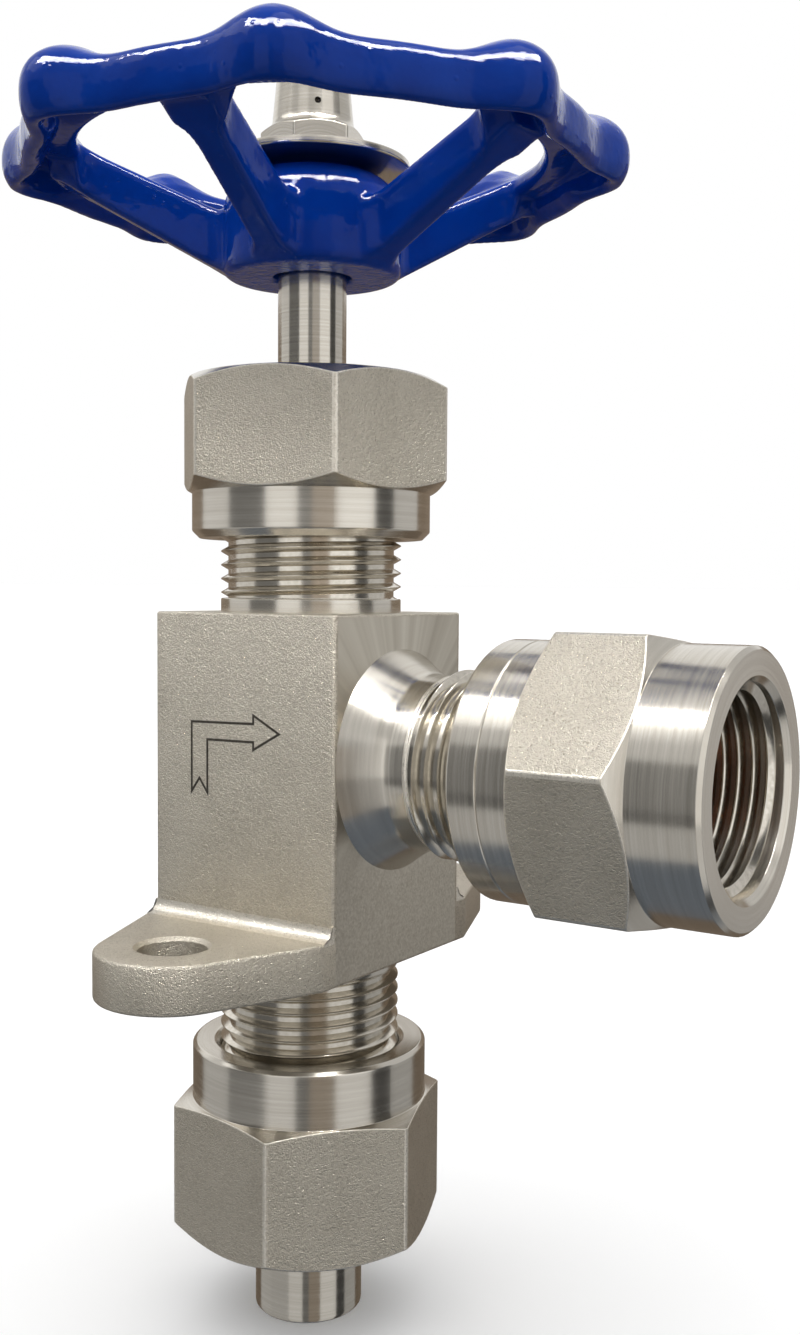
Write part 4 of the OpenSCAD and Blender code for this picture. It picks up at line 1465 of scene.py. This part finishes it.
    def make(self, finishes: Finishes) -> None:
        """Builds the wheel, fuses it into one skin as thick paint does, and dresses it.

        Args:
            finishes: the valve's finishes.
        """
        turns = [radians(self.spoke_turn + 360 * i / self.spokes) for i in range(self.spokes)]
        shells = [self.rim(), self.hub(), *[self.spoke(turn) for turn in turns]]
        piece = build("handwheel_dressed", shells, [finishes.enamel])
        skin = piece.modifiers.new("skin", "REMESH")
        skin.mode, skin.voxel_size, skin.adaptivity = "VOXEL", self.grain * MM, 0.0
        flow = piece.modifiers.new("flow", "SMOOTH")
        flow.factor, flow.iterations = 0.5, 2
        bake(piece)
        smooth(piece, 180)
        dress(piece, "wheel", "blue_enamel", "handwheel")


@dataclass
class InnerParts:
    """The pieces inside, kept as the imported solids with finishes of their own."""

    bright: tuple[str, ...] = ("seat_ring", "valve_cone", "gland_follower")
    satin: tuple[str, ...] = ("cone_clip", "packing_washer")
    graphite: tuple[str, ...] = ("packing_ring_lower", "packing_ring_middle", "packing_ring_upper")
    copper: tuple[str, ...] = ("inlet_seal_ring", "outlet_seal_washer")
    bronze: tuple[str, ...] = ("stem_bush",)

    def make(self, finishes: Finishes) -> None:
        """Gives each solid its finish.

        Args:
            finishes: the valve's finishes.
        """
        table = {finishes.polished: self.bright, finishes.satin: self.satin,
                 finishes.graphite: self.graphite, finishes.copper: self.copper,
                 finishes.bronze: self.bronze}
        for finish, names in table.items():
            for name in names:
                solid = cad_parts[name]
                for i in range(len(solid.material_slots)):
                    solid.material_slots[i].material = finish
                LOG.info("%s: packed solid in %s", name, finish.name)


# ---- Studio ----


@dataclass(frozen=True)
class Card:
    """A studio card seen only in reflections: a patch of a sphere round the valve.

    around is in degrees to the right of the camera's own direction, up in degrees over the horizon,
    level the card's brightness, where the white backdrop is 1. A card that dims also shades paint.
    """

    around: tuple[float, float]
    up: tuple[float, float]
    level: float
    reach: float = 0.9
    dims: bool = False
    tint: str = "ffffff"


@dataclass
class Studio:
    """Floor, backdrop, lamps, cards and the camera at the photograph's viewing angle.

    Angles are in degrees; facing is the direction of the camera from the valve. mirrored and skylight
    are the backdrop's brightness in reflections and as a light; floor_half is half the floor's width
    in metres; lamp_aim and card_aim are the heights that lamps face and that cards stand round.
    """

    eye: tuple[float, float, float] = (94.862, -124.838, 40.747)
    yaw: float = -33.603
    pitch: float = 3.321
    roll: float = 0.432
    lens: float = 37.926
    floor_z: float = -40.5
    facing: float = -56.4
    mirrored: float = 0.7
    sheet_r: float = 260.0
    sheet_level: float = 0.66
    skylight: float = 1.62
    floor_half: float = 50.0
    lamp_aim: float = 35.0
    card_aim: float = 30.0
    cards: tuple[Card, ...] = (
        Card((125, 238), (-60, 14), 0.26, tint="ffe6cc"),
        Card((140, 210), (14, 60), 1.05),
        Card((-150, -122), (-12, 34), 1.15),
        Card((-122, -81), (-50, 30), 0.8),
        Card((-40, -10), (-50, 30), 1.1),
        Card((29, 65), (-50, 40), 1.2),
        Card((90, 120), (-45, 12), 0.66),
        Card((66, 88), (-60, 30), 0.1),
        Card((4, 28), (-50, 12), 0.5, tint="fff0e0"),
        Card((-9, 4), (-50, 20), 0.28),
        Card((-80, -41), (-24, 22), 0.2),
        Card((-80, -41), (-50, -24), 0.8),
        Card((-180, 180), (-90, -50), 0.42, 1.0, tint="c4d2e6"),
        Card((-180, 180), (-90, -4), 0.16, 1.2, True),
        Card((-180, 180), (-4, 32), 0.3, 400.0, True),
    )

    def camera(self) -> None:
        """Sets the camera up: forward, right and up from yaw, pitch and roll."""
        yaw, pitch, roll = radians(self.yaw), radians(self.pitch), radians(self.roll)
        ahead = Vector((np.sin(yaw), np.cos(yaw), 0))
        right, rise = Vector((np.cos(yaw), -np.sin(yaw), 0)), Vector((0, 0, 1))
        forward = ahead * np.cos(pitch) - rise * np.sin(pitch)
        upward = rise * np.cos(pitch) + ahead * np.sin(pitch)
        side, top = right * np.cos(roll) + upward * np.sin(roll), upward * np.cos(roll) - right * np.sin(roll)
        data = bpy.data.cameras.new("camera")
        data.lens, data.sensor_width, data.clip_start = self.lens, 36.0, 0.005
        matrix = Matrix((side, top, -forward)).transposed().to_4x4()
        matrix.translation = Vector(self.eye) * MM
        bpy.context.scene.camera = enter("camera", data)
        bpy.context.scene.camera.matrix_world = matrix

    def direction(self, around: Array | float, up: Array | float) -> Array:
        """Directions at degrees to the right of the camera and degrees over the horizon."""
        a, e = np.radians(self.facing + around), np.radians(up)
        return np.stack(np.broadcast_arrays(np.cos(a) * np.cos(e), np.sin(a) * np.cos(e), np.sin(e)),
                        axis=-1)

    def lamp(self, name: str, around: float, up: float, away: float, size: tuple[float, float],
             level: float, only: str = "") -> None:
        """Adds a soft lamp that faces the valve and gives highlights only.

        Args:
            name: the lamp's name.
            around: degrees to the right of the camera.
            up: degrees over the horizon.
            away: distance in metres.
            size: width and height in metres.
            level: brightness of its face, where the backdrop is 1.
            only: the one piece that it lights, or every piece if empty.
        """
        data = bpy.data.lights.new(name, "AREA")
        data.shape, data.size, data.size_y = "RECTANGLE", *size
        data.energy = level * np.pi * size[0] * size[1]
        made = enter(name, data)
        way = Vector(self.direction(around, up))
        made.location = way * away + Vector((0, 0, self.lamp_aim * MM))
        made.rotation_euler = way.to_track_quat("Z", "Y").to_euler()
        made.visible_diffuse = False
        if only:
            made.light_linking.receiver_collection = bpy.data.collections.new(name)
            made.light_linking.receiver_collection.objects.link(bpy.data.objects[only])

    def prop(self, name: str, shell: Shell, paint: Material, **seen: bool) -> None:
        """Adds a studio piece.

        Args:
            name: its name.
            shell: its surface.
            paint: its material.
            seen: kind of ray, such as camera, to whether it meets the piece.
        """
        made = build(name, [shell], [paint])
        for ray, meets in seen.items():
            setattr(made, f"visible_{ray}", meets)

    def card(self, number: int, card: Card) -> None:
        """Adds a studio card as a patch of a sphere round the valve's middle.

        Args:
            number: its number.
            card: its place and brightness.
        """
        way = self.direction(np.linspace(*card.around, 25)[:, None], np.linspace(*card.up, 13)[None])
        shell = grid_shell(way * card.reach / MM + [0, 0, self.card_aim], False, False)
        glow = lone(f"card_{number}", "Emission", {"Color": srgb(card.tint), "Strength": card.level})
        self.prop(f"card_{number}", shell, glow, camera=False, shadow=False, diffuse=card.dims,
                  glossy=not card.dims)

    def floor(self) -> None:
        """Adds a wide pale floor that keeps the valve's shadow."""
        rows = np.linspace(-1, 1, 3) * self.floor_half / MM
        x, y = np.meshgrid(rows, rows)
        paint = lone("pale_floor", "BsdfPrincipled",
                     {"Base Color": grey(0.95), "Roughness": 0.9, "Specular IOR Level": 0.0})
        shell = grid_shell(np.stack([x, y, self.floor_z + 0 * x], axis=-1), False, False)
        self.prop("floor", shell, paint, glossy=False, diffuse=False)

    def sheet(self) -> None:
        """Adds a grey sheet under the valve, seen only by reflections: painted shade on what low pieces
        reflect.
        """
        a = circle(48).angle
        points = np.stack([np.cos(a), np.sin(a), 0 * a], axis=-1)
        rows = points[None] * np.array([0.5, self.sheet_r])[:, None, None] + [0, 0, self.floor_z - 2]
        # painted shade: the sheet darkens the floor's direction in the reflections of low pieces
        shade_film = lone("dim_sheet", "BsdfTransparent", {"Color": grey(self.sheet_level)})
        self.prop("dim_sheet", grid_shell(rows, False, True), shade_film, camera=False, shadow=False,
                  diffuse=False)

    def backdrop(self) -> None:
        """Makes the world 1 to the camera, mirrored in reflections and skylight as a light from above."""
        world = bpy.data.worlds.new("studio")
        bpy.context.scene.world = world
        world.use_nodes = True
        tree = world.node_tree
        tree.nodes.clear()
        path = add(tree, "LightPath").outputs
        seen = path["Is Camera Ray"]
        for kind in ("Is Glossy Ray", "Is Transmission Ray"):
            seen = add(tree, "Math", {0: seen, 1: path[kind]}, operation="MAXIMUM")
        strength = add(tree, "MapRange", {"Value": seen, "To Min": self.skylight, "To Max": 1.0})
        strength = add(tree, "Math", {0: path["Is Glossy Ray"], 1: self.mirrored - 1, 2: strength},
                       operation="MULTIPLY_ADD")
        sky = add(tree, "Background", {"Color": grey(1.0), "Strength": strength})
        add(tree, "OutputWorld", {"Surface": sky})

    def make(self) -> None:
        """Sets up the whole studio."""
        bpy.context.scene.view_settings.view_transform = "Standard"
        self.camera()
        self.floor()
        self.sheet()
        self.backdrop()
        for number, card in enumerate(self.cards):
            self.card(number, card)
        self.lamp("key_softbox", -88, 46, 0.75, (0.45, 0.26), 1.5)
        self.lamp("top_softbox", 60, 70, 0.8, (0.4, 0.4), 1.8)
        for name, around, up in (("left", -52, 58), ("middle", 0, 62), ("right", 50, 58)):
            self.lamp(f"strip_{name}", around, up, 0.6, (0.5, 0.005), 150.0)
            self.lamp(f"wheel_{name}", around, up, 0.6, (0.45, 0.14), 54.0, "handwheel_dressed")


def main() -> None:
    """Builds every piece and the studio."""
    logging.basicConfig(level=logging.INFO, format="%(message)s")
    finishes = Finishes()
    for part in (ValveBody(), Stem(), GlandNut(), InletNut(), Nipple(), Coupling(), WheelFastening(),
                 Handwheel(), InnerParts()):
        LOG.info("building %s", type(part).__name__)
        part.make(finishes)
    Studio().make()


if __name__ == "__main__":
    main()
